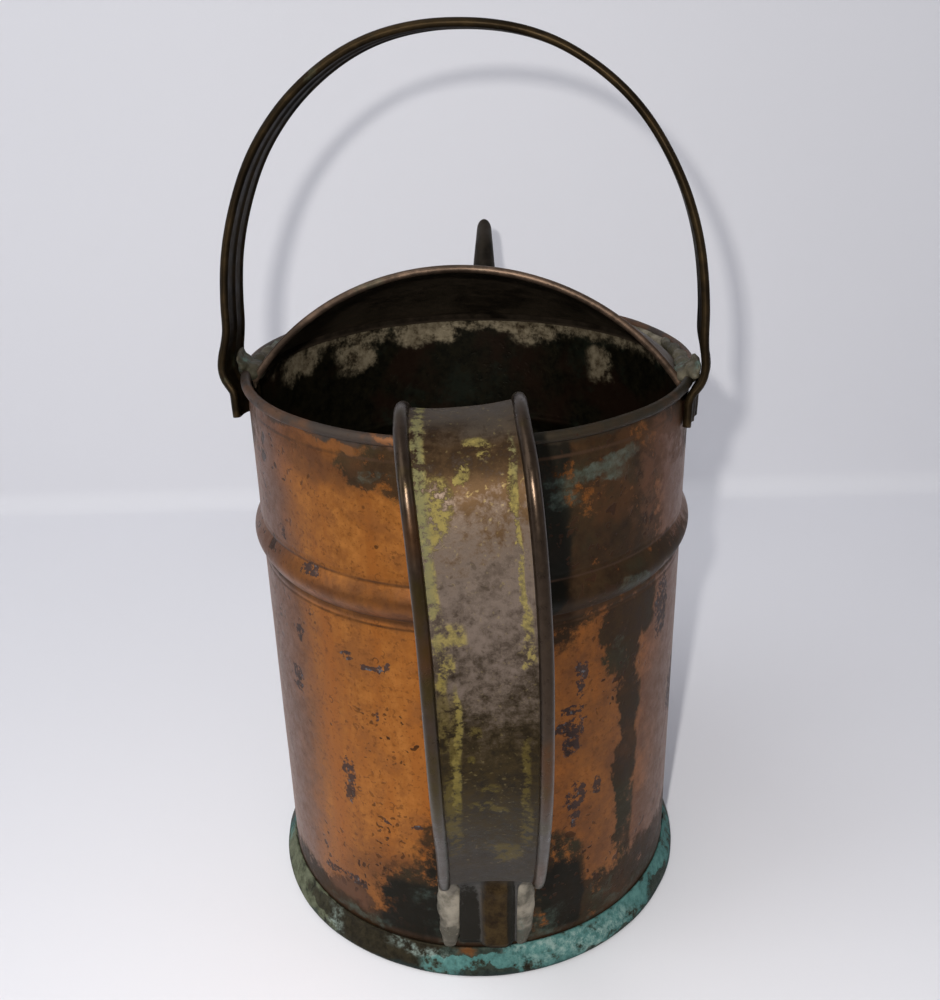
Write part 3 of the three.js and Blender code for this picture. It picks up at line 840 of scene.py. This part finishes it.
def cone_ring(out_along, radius, cut_at=None):
    """Points round the spout at a distance along it, stopped at an upright plane or at the wall."""
    side, other = Vector((1, 0, 0)), spout_line.cross(Vector((1, 0, 0)))
    ring = []
    for cos, sin in circle(spout_sides):
        ray = side * cos + other * sin
        here = spout_root + spout_line * out_along + ray * radius
        slope_line = spout_line - ray * taper
        if cut_at == "tip":
            here += slope_line * ((can_radius + spout_reach - here.y) / slope_line.y)
        if cut_at == "wall":
            for _ in range(12):
                gap = math.hypot(here.x, here.y) - (can_radius + 0.12 * mm)
                here -= slope_line * (gap / slope_line.y)
        ring.append(spout_spin @ here)
    return ring


def spout_shape():
    rings, inner = [], []
    steps = 40
    for step in range(steps + 1):
        share = step / steps
        along = spout_length * share
        radius = root_radius - taper * along
        wobble = 0.1 * mm * noise.noise(Vector((share * 7, 1.5, 2.5)))
        end = "wall" if step == 0 else "tip" if step == steps else None
        if end is None and min(along, spout_length - along) < radius * 1.4:
            continue
        rings.append(cone_ring(along, radius + wobble, end))
        inner.append(cone_ring(along, radius - spout_sheet, end))
    return skin(rings + inner[::-1], joined=True)


def brown_brass(name, dark, light, shine=0.42):
    """Old metal browned nearly black, with paler rubbed edges and a trace of green."""
    made, tree, shader = new_material(name)
    point = object_place(tree)
    fine = cloud(tree, point, 300.0, 6.0, 0.65)
    broad = cloud(tree, point, 55.0, 4.0)
    rubbed = use(tree, edge_wear, Point=point, Low=0.535, High=0.6)[0]
    colour = mottled(tree, fine, 0.3, 0.7, dark, light)
    colour = mottled(tree, broad, 0.48, 0.66, colour, tinted(dark, 0.55))
    powder = use(tree, verdigris, Point=point, Low=0.6, High=0.72)
    colour = laid(tree, colour, powder["Mask"], 0.35, (0.1, 0.13, 0.085))
    colour = laid(tree, colour, rubbed, 0.6, tinted(light, 2.4))
    bump = dents(tree, fine, 0.45, 0.0002)
    wire_up(tree, shader, Base_Color=colour, Normal=bump, Metallic=span(tree, fine, 0.3, 0.7, 0.75, 0.9),
            Roughness=span(tree, fine, 0.3, 0.7, shine, shine + 0.16))
    return made


spout = bare_object("spout_cone", *spout_shape())
finish_piece(spout, brown_brass("spout_brown", (0.012, 0.01, 0.007), (0.03, 0.024, 0.018), 0.5), "spout",
             "spout")

# ------------------------------------------------------------
# Solder. Soft grey solder run in by hand: a fillet round the spout, lumps at the feet of the bail
# and on the tab of the strap, a seam along the hood and a stripe each side of the strap's tail.
# ------------------------------------------------------------


def soft_solder(name, pale, dark):
    made, tree, shader = new_material(name)
    point = object_place(tree)
    fine = cloud(tree, point, 420.0, 6.0, 0.7)
    broad = cloud(tree, point, 110.0, 5.0, 0.6)
    colour = mottled(tree, broad, 0.38, 0.6, dark, pale)
    colour = mottled(tree, fine, 0.58, 0.74, colour, tinted(pale, 1.35))
    powder = use(tree, verdigris, Point=point, Low=0.56, High=0.7)
    colour = laid(tree, colour, powder["Mask"], 0.4, powder["Color"])
    dirt = use(tree, pits, Point=point, Scale=420.0, Amount=0.25)[0]
    colour = laid(tree, colour, dirt, 0.7, (0.04, 0.032, 0.022))
    height = plus(tree, times(tree, fine, 0.5), broad)
    bump = dents(tree, height, 0.7, 0.0004)
    wire_up(tree, shader, Base_Color=colour, Normal=bump, Metallic=span(tree, fine, 0.35, 0.65, 0.1, 0.35),
            Roughness=span(tree, fine, 0.3, 0.7, 0.5, 0.78))
    return made


grey_solder = soft_solder("grey_solder", (0.21, 0.185, 0.14), (0.085, 0.075, 0.05))
bail_solders = (soft_solder("dull_solder", (0.07, 0.06, 0.042), (0.032, 0.029, 0.018)),
                soft_solder("dusty_solder", (0.105, 0.092, 0.064), (0.046, 0.041, 0.028)))
pale_solder = soft_solder("pale_solder", (0.27, 0.24, 0.19), (0.085, 0.077, 0.06))


def outwards(point):
    return Vector((point.x, point.y, 0)).normalized()


def tube(path, radii, sides=16, faces=None):
    """A round bar along a path of points, with a radius and a facing at each."""
    rings = []
    for i, here in enumerate(path):
        before, after = neighbours(path, i)
        along = (after - before).normalized()
        face = faces[i] if faces else outwards(here)
        face = (face - along * face.dot(along)).normalized()
        side = along.cross(face)
        rings.append([here + radii[i] * (cos * side + sin * face) for cos, sin in circle(sides)])
    return skin(rings)


def lumpy(made, height, scale, seed):
    """Pushes a piece's points in and out a little, as hand-run solder sets."""
    mesh = made.data
    push = [noise.fractal(vertex.co * scale + Vector((seed, seed, seed)), 0.6, 2.0,
                          3) for vertex in mesh.vertices]
    normals = [vertex.normal.copy() for vertex in mesh.vertices]
    for vertex, amount, normal in zip(mesh.vertices, push, normals):
        vertex.co += normal * amount * height
    return made


def spout_fillet():
    inner = cone_ring(0, root_radius + 0.05 * mm, "wall")
    outer = cone_ring(0, root_radius + 2.3 * mm, "wall")
    rings = []
    for near, wide in zip(inner, outer):
        raised = near + spout_spin.to_3x3() @ spout_line * 2.2 * mm
        low = wide - outwards(wide) * 0.1 * mm
        hollow = (raised + wide) * 0.5 - outwards(wide) * 0.35 * mm
        rings.append([near, raised, hollow + (near - hollow) * 0.15, wide, low])
    return skin(rings, joined=True)


fillet = lumpy(bare_object("spout_seam", *spout_fillet()), 0.22 * mm, 320, 4.0)
finish_piece(fillet, grey_solder, "solder", "spout_solder")

# ------------------------------------------------------------
# Hood. Half the mouth is covered by a sheet bent up into an arch, seated inside the rim; its open
# edge is rolled round a wire. It was soldered on a few degrees askew.
# ------------------------------------------------------------
top_turn = Matrix.Rotation(math.radians(-6.3), 4, "Z")
mouth_line = -11.75 * mm
hood_radius = rim_line - rim_roll - 0.15 * mm
hood_seat = can_height - 4 * mm
hood_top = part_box("hood")[1].z
hood_sheet = 0.7 * mm
arch_half = math.sqrt(hood_radius ** 2 - mouth_line ** 2)
arch_rise = hood_top - hood_seat
arch_radius = (arch_half ** 2 + arch_rise ** 2) / (2 * arch_rise)
arch_middle = hood_seat + arch_rise - arch_radius
arch_spread = math.asin(arch_half / arch_radius)
rim_spread = math.pi / 2 - math.asin(mouth_line / hood_radius)


def hood_point(share, down, inset=0.0):
    """share runs from -1 at the left end of the arch to 1; down from 0 on the arch to 1 on the rim."""
    turn = share * arch_spread
    arch = Vector(((arch_radius - inset) * math.sin(turn), mouth_line,
                   arch_middle + (arch_radius - inset) * math.cos(turn)))
    turn = share * rim_spread
    rim = Vector(((hood_radius - inset) * math.sin(turn), (hood_radius - inset) * math.cos(turn),
                  hood_seat))
    here = arch.lerp(rim, down)
    bulge = 1.1 * mm * math.sin(math.pi * down) * math.cos(share * math.pi / 2)
    dent = 0.35 * mm * noise.noise(Vector((share * 3, down * 2.5, 4.0))) * math.sin(math.pi * down)
    return top_turn @ (here + Vector((0, 0.4, 0.9)) * (bulge + dent))


def hood_shape():
    across, down_steps = 96, 36
    rings = []
    for i in range(across + 1):
        share = -1 + 2 * i / across
        outer = [hood_point(share, j / down_steps) for j in range(down_steps + 1)]
        outer.append(outer[-1] - Vector((0, 0, 2.0 * mm)))
        inner = [hood_point(share, j / down_steps, hood_sheet) for j in range(down_steps + 1)]
        inner.append(inner[-1] - Vector((0, 0, 2.0 * mm)))
        rings.append(outer + inner[::-1])
    return skin(rings)


hood_brown = brown_brass("hood_brown", (0.04, 0.031, 0.022), (0.11, 0.082, 0.058), 0.48)
hood = bare_object("hood_sheet", *hood_shape())
finish_piece(hood, hood_brown, "hood", "hood")

edge_radius = 1.05 * mm
edge_line = []
for i in range(97):
    share = -0.985 + 1.97 * i / 96
    edge_line.append(hood_point(share, 0.0, hood_sheet * 0.5) + top_turn @ Vector((0, -1.1 * mm, 0)))
edge = bare_object("hood_edge_roll", *tube(edge_line, [edge_radius] * len(edge_line), 16))
edge_brown = brown_brass("edge_brown", (0.05, 0.035, 0.025), (0.15, 0.1, 0.07), 0.4)
finish_piece(edge, edge_brown, "hood", "hood_wire")

seam_line, seam_radii = [], []
seam_start = rim_spread - math.radians(10)
for i in range(121):
    turn = seam_start * (-1 + 2 * i / 120)
    here = Vector(((hood_radius + 0.1 * mm) * math.sin(turn), (hood_radius + 0.1 * mm) * math.cos(turn),
                   hood_seat + 1.6 * mm))
    seam_line.append(top_turn @ here)
    seam_radii.append(1.5 * mm * (0.9 + 0.25 * noise.noise(Vector((i * 0.35, 2.0, 8.0)))))
seam = lumpy(bare_object("hood_seam", *tube(seam_line, seam_radii, 14)), 0.25 * mm, 260, 2.0)
finish_piece(seam, grey_solder, "solder", "hood_solder")

# ------------------------------------------------------------
# Bail. A strip of brass with a rib along each edge and one down the middle, bent into a tall arch.
# Its feet are pressed in against the wall under the rim, and solder fills the corner on the rim.
# ------------------------------------------------------------
bail_width, bail_thin, bail_rib = 14.8 * mm, 0.6 * mm, 1.15 * mm
bail_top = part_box("bail_handle")[1].z
bail_shoulder = 11.6 * mm
bail_half_span = 64.3 * mm
bail_turn = Matrix.Rotation(math.radians(-7.6), 4, "Z")
bail_lean = Matrix.Rotation(math.radians(-3.55), 4, "X")
bail_place = bail_turn @ Matrix.Translation((0, mouth_line, can_height)) @ bail_lean
bail_rise = (bail_top - can_height) / math.cos(math.radians(3.5)) - bail_shoulder - bail_rib
roundness = 2.14
foot_twist = math.radians(10.8)


def bail_path():
    """(x, z, twist) of the strip's middle from the right foot over the top to the left foot."""
    side = []
    lip = rim_line + rim_roll + bail_rib + 0.1 * mm
    lip_x = math.sqrt(lip ** 2 - (mouth_line + 2 * mm) ** 2)
    wall_x = math.sqrt((can_radius + bail_rib) ** 2 - mouth_line ** 2)
    for x, z, twist in ((wall_x - 0.2 * mm, -13 * mm, 1), (wall_x, -9 * mm, 1),
                        (wall_x + 0.3 * mm, -5.5 * mm, 1),
                        (lip_x + 0.3 * mm, -2.2 * mm, 0.9), (lip_x + 1.1 * mm, 0.6 * mm, 0.7),
                        (lip_x + 1.0 * mm, 4.0 * mm, 0.4), (bail_half_span + 0.5 * mm, 8 * mm, 0.15)):
        side.append((x, z, twist))
    arch = []
    steps = 44
    for i in range(steps + 1):
        turn = math.pi * i / steps
        x = math.copysign(abs(math.cos(turn)) ** (2 / roundness), math.cos(turn))
        z = abs(math.sin(turn)) ** (2 / roundness)
        arch.append((x * bail_half_span, bail_shoulder + z * bail_rise, 0))
    mirrored = [(-x, z, -twist) for x, z, twist in side[::-1]]
    return side + arch + mirrored


def smooth_line(points, count):
    """Points evenly spaced along a smooth curve through the given ones, of any dimension."""
    line = [Vector(p) for p in points]
    lengths = [0.0]
    for a, b in zip(line, line[1:]):
        lengths.append(lengths[-1] + (b - a).length)
    made = []
    for k in range(count):
        want = lengths[-1] * k / (count - 1)
        i = max(j for j in range(len(line) - 1) if lengths[j] <= want + 1e-12)
        t = (want - lengths[i]) / max(lengths[i + 1] - lengths[i], 1e-12)
        p1, p2 = line[i], line[i + 1]
        span_now = lengths[i + 1] - lengths[i]
        before = (p2 - line[i - 1]) / (lengths[i + 1] - lengths[i - 1]) if i else (p2 - p1) / span_now
        after = ((line[i + 2] - p1) / (lengths[i + 2] - lengths[i]) if i + 2 < len(line)
                 else (p2 - p1) / span_now)
        made.append(p1 * (2 * t ** 3 - 3 * t ** 2 + 1) + before * span_now * (t ** 3 - 2 * t ** 2 + t)
                    + p2 * (3 * t ** 2 - 2 * t ** 3) + after * span_now * (t ** 3 - t ** 2))
    return made


def rib_height(across):
    """Half thickness of the strip at a share across it, -1 to 1: edge ribs and a middle rib."""
    lift = math.exp(-(across / 0.13) ** 2)
    lift += math.exp(-((abs(across) - 0.86) / 0.11) ** 2)
    edge = max(0.0, 1 - max(0.0, (abs(across) - 0.93) / 0.07) ** 2) ** 0.5
    return (bail_thin + (bail_rib - bail_thin) * min(lift, 1.0)) * (0.25 + 0.75 * edge)


def strip_section(width):
    across = [-1 + 2 * i / 44 for i in range(45)]
    top = [(a * width / 2, rib_height(a)) for a in across]
    return top + [(x, -y) for x, y in top[::-1]]


def bail_shape():
    section = strip_section(bail_width)
    flat = smooth_line([(x, z, twist * 10 * mm) for x, z, twist in bail_path()], 220)
    rings = []
    for i, here in enumerate(flat):
        before, after = neighbours(flat, i)
        along = Vector((after.x - before.x, 0, after.y - before.y)).normalized()
        out = Vector((along.z, 0, -along.x))
        twist = here.z / (10 * mm) * foot_twist
        wide = Vector((0, 1, 0))
        spin = Matrix.Rotation(-twist, 3, along)
        wide, out = spin @ wide, spin @ out
        wave = 0.25 * mm * noise.noise(Vector((i * 0.06, 6.0, 1.0)))
        middle = Vector((here.x, 0, here.y)) + out * wave
        rings.append([bail_place @ (middle + wide * a + out * b) for a, b in section])
    return skin(rings)


bail = bare_object("bail_strip", *bail_shape())
bail_brass = brown_brass("bail_brass", (0.009, 0.006, 0.003), (0.031, 0.02, 0.009), 0.38)
finish_piece(bail, bail_brass, "bail", "bail_handle")


def heap(name, blobs, rough, seed):
    """Solder run together: ellipsoids of (middle, half sizes) melted into one lump."""
    verts, faces = [], []
    for middle, half in blobs:
        rings = []
        for i in range(1, 16):
            tilt = math.pi * i / 16
            wide, deep, tall = half[0] * math.sin(tilt), half[1] * math.sin(tilt), half[2] * math.cos(tilt)
            rings.append([middle + Vector((wide * cos, deep * sin, tall)) for cos, sin in circle(24)])
        more, their_faces = skin(rings)
        faces += [tuple(len(verts) + i for i in face) for face in their_faces]
        verts += more
    made = bare_object(name, verts, faces)
    melt = made.modifiers.new("melt", "REMESH")
    melt.mode = "VOXEL"
    melt.voxel_size = 0.45 * mm
    settle = made.modifiers.new("settle", "SMOOTH")
    settle.iterations = 7
    set_shape(made)
    return lumpy(made, rough, 230, seed)


for side, sign in (("left", -1), ("right", 1)):
    end = hood_point(sign * 0.97, 0.0)
    foot_end = bail_place @ Vector((sign * (rim_line - 0.6 * mm), 0.5 * mm, 1.0 * mm))
    blobs = [
        (end.lerp(foot_end, 0.6) + Vector((0, 1.5 * mm, -0.6 * mm)), (3.4 * mm, 5.0 * mm, 2.0 * mm)),
        (foot_end, (1.9 * mm, 6.2 * mm, 1.9 * mm)),
        (foot_end + Vector((sign * 1.0 * mm, 0, 2.0 * mm)), (0.9 * mm, 5.6 * mm, 2.0 * mm)),
        (end + Vector((sign * 0.8 * mm, 0.6 * mm, 0)), (1.6 * mm, 2.0 * mm, 1.4 * mm)),
    ]
    for turn, width, lift in ((2, 2.9, 2.6), (9, 2.7, 2.6), (16, 2.3, 2.2), (23, 1.9, 1.8), (30, 1.5, 1.4)):
        swing = math.radians(turn - 11)
        spot = Vector((sign * math.cos(swing), math.sin(swing), 0)) * (hood_radius - 0.6 * mm)
        blobs.append((top_turn @ (spot + Vector((0, 0, hood_seat + 2.6 * mm))),
                      (width * mm, 5.2 * mm, lift * mm)))
    lump = heap("bail_lump_" + side, blobs, 0.35 * mm, 3.0 + sign)
    finish_piece(lump, bail_solders[sign > 0], "solder", "bail_solder_" + side)

# ------------------------------------------------------------
# Strap handle. A broad brass strap, hollowed a little, its edges rolled into round beads. A tab is
# soldered under the rim, and the tail runs down the wall to the foot as a half-round channel.
# ------------------------------------------------------------
strap_width, strap_thick, bead_radius = 28 * mm, 1.2 * mm, 1.6 * mm
handle_reach = -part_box("rear_handle")[0].y - can_radius - 1.5 * mm
crest = can_height + 15 * mm
tail_low = 12 * mm
tail_top = 38 * mm
wall_off = can_radius + 0.9 * mm
lip_off = rim_line + rim_roll + 1.2 * mm


def bow(out, up, sideways, bank):
    return (wall_off + out * handle_reach, tail_top + up * (crest - tail_top), sideways * mm, bank)


# Shares of reach and height, then the sideways offset in millimetres and the bank in degrees.
bow_line = [
    bow(0.17, 0.05, 2.6, 0), bow(0.36, 0.09, 2.8, 0), bow(0.57, 0.21, 3.1, 0), bow(0.87, 0.412, 2.9, 0),
    bow(0.985, 0.594, 2.5, 0.3), bow(1.0, 0.722, 2.0, 0.8), bow(0.97, 0.85, 0.9, 2),
    bow(0.87, 0.946, -0.4, 3),
    bow(0.66, 0.991, -1.5, 4), bow(0.44, 1.0, -1.8, 3.5), bow(0.22, 0.974, -1.6, 2.5),
]
tab_line = [
    (lip_off + 1.4 * mm, can_height + 4.5 * mm, -1.2 * mm, 1.5),
    (lip_off, can_height - 2.8 * mm, -0.8 * mm, 0),
    (wall_off, can_height - 8.8 * mm, -0.6 * mm, 0), (wall_off, can_height - 22 * mm, -0.5 * mm, 0),
]


def strap_frames(line, count):
    """Middle, across, out and share along for each step of the strap."""
    smooth = smooth_line([(out, up, side, bank * mm) for out, up, side, bank in line], count)
    made = []
    for i, here in enumerate(smooth):
        before, after = neighbours(smooth, i)
        middle = Vector((here[2], -here[0], here[1]))
        along = Vector((after[2] - before[2], before[0] - after[0], after[1] - before[1])).normalized()
        across = Vector((1, 0, 0))
        across = (across - along * across.dot(along)).normalized()
        across = Matrix.Rotation(math.radians(-here[3] / mm), 3, along) @ across
        made.append((middle, across, across.cross(along).normalized(), i / (count - 1)))
    return made


def strap_lift(x):
    """How far the strap's face stands off its middle line, hollow between the beads."""
    share = abs(x) / (strap_width / 2 - 1.7 * bead_radius)
    return -0.75 * mm + 0.95 * mm * min(share, 1.0) ** 2.6


def strap_shape():
    full = strap_width / 2 - 1.35 * bead_radius
    line = [(wall_off - 0.2 * mm, tail_low, 1.8 * mm, 0), (wall_off, 25 * mm, 2.0 * mm, 0),
            (wall_off + 1.1 * mm, tail_top - 2.4 * mm, 2.4 * mm, 0)] + bow_line + tab_line
    rings = []
    for middle, across, out, share in strap_frames(line, 200):
        free = held((math.hypot(middle.x, middle.y) - wall_off - 1 * mm) / (4 * mm))
        tail = held((tail_top + 2 * mm - middle.z) / (6 * mm))
        half = full + (8.3 * mm - full) * tail
        top, low = [], []
        for k in range(49):
            x = -half + 2 * half * k / 48
            rib = max(0.0, 1 - ((x - 2.6 * mm) / (4.6 * mm)) ** 2) ** 0.5
            lift = strap_lift(x) * free + 2.2 * mm * rib * tail
            thick = strap_thick / 2 * (0.55 + 0.45 * (1 - abs(x / half) ** 8))
            wave = 0.12 * mm * noise.noise(Vector((x * 90, share * 26, 1.0)))
            top.append(middle + across * x + out * (lift + thick + wave))
            low.append(middle + across * x + out * (lift * (1 - tail) - thick + wave))
        rings.append(top + low[::-1])
    return skin(rings)


def strap_brass():
    made, tree, shader = new_material("strap_brass")
    point = object_place(tree)
    parts = split(tree, point)
    grain = cloud(tree, point, 480.0, 8.0, 0.75)
    patchy = cloud(tree, point, 120.0, 8.0, 0.7)
    coarse = blend_values(tree, 0.5, patchy, grain)
    sway = times(tree, minus(tree, patchy, 0.5), 4.0)
    up = plus(tree, times(tree, parts[2], 1000.0), times(tree, sway, 2.0))
    bend = span(tree, up, 185.0, 130.0, 1.2, -2.2)
    across = plus(tree, times(tree, parts[0], 1000.0), plus(tree, sway, bend))

    # From the top down: brown, grey, olive, and grey again on the bend back to the wall.
    colour = mottled(tree, coarse, 0.34, 0.66, (0.024, 0.013, 0.006), (0.062, 0.036, 0.017))
    grey = mottled(tree, coarse, 0.36, 0.64, (0.085, 0.063, 0.048), (0.165, 0.127, 0.102))
    slide = plus(tree, up, times(tree, minus(tree, coarse, 0.5), 75.0))
    colour = mottled(tree, slide, 178.0, 158.0, colour, grey)
    olive = mottled(tree, coarse, 0.34, 0.66, (0.014, 0.009, 0.003), (0.046, 0.03, 0.009))
    colour = mottled(tree, slide, 150.0, 114.0, colour, olive)
    low_grey = mottled(tree, coarse, 0.36, 0.64, (0.026, 0.019, 0.013), (0.05, 0.038, 0.026))
    colour = mottled(tree, slide, 84.0, 66.0, colour, low_grey)
    crown = stains(tree, across, up, [(0, 187, 12, 3.0)], 0.6)
    colour = laid(tree, colour, crown, 0.6, (0.08, 0.068, 0.054))

    # Yellow-green crust, thickest against the left bead, and a thread of it beside the right one.
    crust = stains(tree, across, up, [
        (-9.4, 176, 1.6, 12), (-9.0, 158, 1.5, 14), (-6.2, 174, 3.4, 4.0), (-6.6, 169, 2.6, 3.5),
        (-9.0, 142, 1.2, 10), (-6.4, 146, 3.4, 2.6), (-7.6, 139, 1.4, 3.0), (-6.0, 124, 0.8, 9),
        (-6.6, 104, 0.9, 10), (9.4, 178, 1.0, 6), (9.5, 160, 0.6, 16), (9.6, 148, 1.2, 5),
        (9.2, 141, 1.5, 3.0), (-0.6, 179, 1.4, 1.4), (2.6, 183, 2.6, 1.0), (3.6, 181, 1.2, 0.9),
    ], 1.0)
    crust = ragged(tree, crust, coarse, 1.9, 0.3, 0.95)
    yellow = mottled(tree, grain, 0.36, 0.64, (0.06, 0.05, 0.016), (0.19, 0.15, 0.044))
    pale = stains(tree, across, up, [(-9.9, 172, 2.0, 24), (9.9, 186, 2.0, 6)], 0.7)
    yellow = laid(tree, yellow, pale, 0.7, (0.105, 0.108, 0.054))
    colour = laid(tree, colour, crust, 0.85, yellow)

    # Thin gold traces lower down, where the brown is rubbed through.
    trace = stains(tree, across, up, [
        (-6.8, 118, 1.4, 14), (-7.6, 98, 2.0, 12), (-8.0, 82, 2.2, 10), (8.6, 104, 1.1, 18),
        (9.4, 86, 1.4, 10), (-2.5, 121, 1.6, 1.8), (-3.4, 113, 1.0, 1.2), (0.8, 103, 2.2, 1.6),
        (-1.0, 96, 3.2, 2.4), (2.6, 94, 2.2, 2.0), (8.4, 92, 1.3, 1.2), (4, 72, 5, 5), (-9.2, 128, 1.6, 12),
    ], 0.8)
    trace = ragged(tree, trace, coarse, 1.9, 0.34, 1.2)
    colour = laid(tree, colour, trace, 0.45, (0.15, 0.112, 0.022))
    specks = span(tree, cloud(tree, point, 900.0, 3.0), 0.6, 0.74)
    colour = laid(tree, colour, specks, 0.3, (0.26, 0.2, 0.08))
    flecks = use(tree, pits, Point=point, Scale=560.0, Amount=0.25)[0]
    colour = laid(tree, colour, flecks, 0.4, (0.035, 0.024, 0.014))

    # The tail: a browned rib between grey flats, with near-black painted shade in the hollows beside it.
    tail_across = plus(tree, times(tree, parts[0], 1000.0), times(tree, sway, 0.4))
    tail = span(tree, up, 40.0, 36.0)
    rib = stains(tree, tail_across, up, [(4.6, 24, 4.4, 22)], 0.3)
    flat = mottled(tree, coarse, 0.36, 0.64, (0.052, 0.049, 0.044), (0.115, 0.107, 0.098))
    gold = mottled(tree, coarse, 0.36, 0.64, (0.02, 0.011, 0.004), (0.07, 0.044, 0.016))
    # Painted shade: near-black where the hollows beside the rib lie in shadow under the strap's bend.
    hollow = stains(tree, tail_across, up, [(-4.0, 20, 3.4, 15), (8.6, 24, 1.2, 15)], 0.8)
    below = blend(tree, rib, flat, gold)
    below = laid(tree, below, ragged(tree, hollow, coarse), 0.9, (0.014, 0.012, 0.008))
    colour = blend(tree, tail, colour, below)

    height = plus(tree, times(tree, grain, 0.7), times(tree, crust, 0.45))
    bump = dents(tree, height, 0.5, 0.00022)
    wire_up(tree, shader, Base_Color=colour, Normal=bump, Metallic=span(tree, crust, 0.0, 1.0, 0.85, 0.3),
            Roughness=plus(tree, span(tree, grain, 0.3, 0.7, 0.5, 0.64), times(tree, crust, 0.25)))
    return made


def bead_brass():
    made, tree, shader = new_material("bead_brass")
    point = object_place(tree)
    fine = cloud(tree, point, 380.0, 6.0, 0.65)
    broad = cloud(tree, point, 60.0, 4.0)
    colour = blend(tree, fine, (0.022, 0.015, 0.01), (0.068, 0.047, 0.033))
    colour = mottled(tree, broad, 0.5, 0.64, colour, (0.044, 0.031, 0.011))
    warm = span(tree, cloud(tree, point, 28.0, 3.0), 0.54, 0.66)
    colour = laid(tree, colour, warm, 0.6, (0.092, 0.04, 0.015))
    specks = use(tree, pits, Point=point, Scale=430.0, Amount=0.2)[0]
    colour = laid(tree, colour, specks, 0.5, (0.06, 0.04, 0.025))
    bump = dents(tree, fine, 0.35, 0.00018)
    wire_up(tree, shader, Base_Color=colour, Normal=bump, Metallic=0.92,
            Roughness=span(tree, fine, 0.3, 0.7, 0.26, 0.38))
    return made


strap = bare_object("strap_band", *strap_shape())
finish_piece(strap, strap_brass(), "strap", "rear_handle")

bead_look = bead_brass()
for side, sign in (("left", -1), ("right", 1)):
    bead_path, facing = [], []
    for middle, across, out, _ in strap_frames(bow_line + tab_line[:1], 170):
        bead_path.append(middle + across * sign * (strap_width / 2 - bead_radius) + out * 0.55 * mm)
        facing.append(out)
    count = len(bead_path)
    radii = [bead_radius * min(1.0, 0.35 + 0.16 * min(i, count - 1 - i)) for i in range(count)]
    bead = bare_object("strap_bead_" + side, *tube(bead_path, radii, 20, faces=facing))
    finish_piece(bead, bead_look, "strap", "handle_bead_" + side)


def wall_stripe(inner, outer, low, high, rise, lean, seed):
    """A low ridge of solder run down the wall; lean slants it, as the strap is slanted."""
    rings = []
    steps = 40
    for i in range(steps + 1):
        share = i / steps
        z = low + (high - low) * share
        ends = math.sin(math.pi * held(share * 0.94 + 0.03)) ** 0.35
        ragged_edge = 0.5 * mm * noise.noise(Vector((share * 9, seed, 0.5)))
        ring = []
        half = abs(outer - inner) / 2 * ends + ragged_edge
        for cos, sin in circle(18):
            x = (inner + outer) / 2 + lean * (z - low) + half * cos
            lift = rise * ends * max(0.0, sin) - 0.25 * mm * max(0.0, -sin)
            radius = can_radius + lift
            ring.append(Vector((x, -math.sqrt(max(radius ** 2 - x ** 2, 0)), z)))
        rings.append(ring)
    return skin(rings)


for side, sign in (("left", -1), ("right", 1)):
    middle = 1.2 * mm
    stripe = wall_stripe(middle + sign * 7.0 * mm, middle + sign * 14.2 * mm, foot_top + 0.2 * mm, 43 * mm,
                         1.8 * mm, 0.02, 3.0 + sign)
    stripe = lumpy(bare_object("tail_stripe_" + side, *stripe), 0.35 * mm, 240, 1.0 + sign)
    finish_piece(stripe, pale_solder, "solder", "tail_solder_" + side)
    tab = wall_stripe(sign * 10.4 * mm, sign * 14.6 * mm, can_height - 12 * mm, can_height - 3.2 * mm,
                      1.3 * mm, 0.0, 8.0 + sign)
    tab = lumpy(bare_object("tab_lump_" + side, *tab), 0.3 * mm, 260, 5.0 + sign)
    finish_piece(tab, grey_solder, "solder", "tab_solder_" + side)

size = {"cad": [list(corner) for corner in cad_box], "visual": [list(corner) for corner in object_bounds()]}
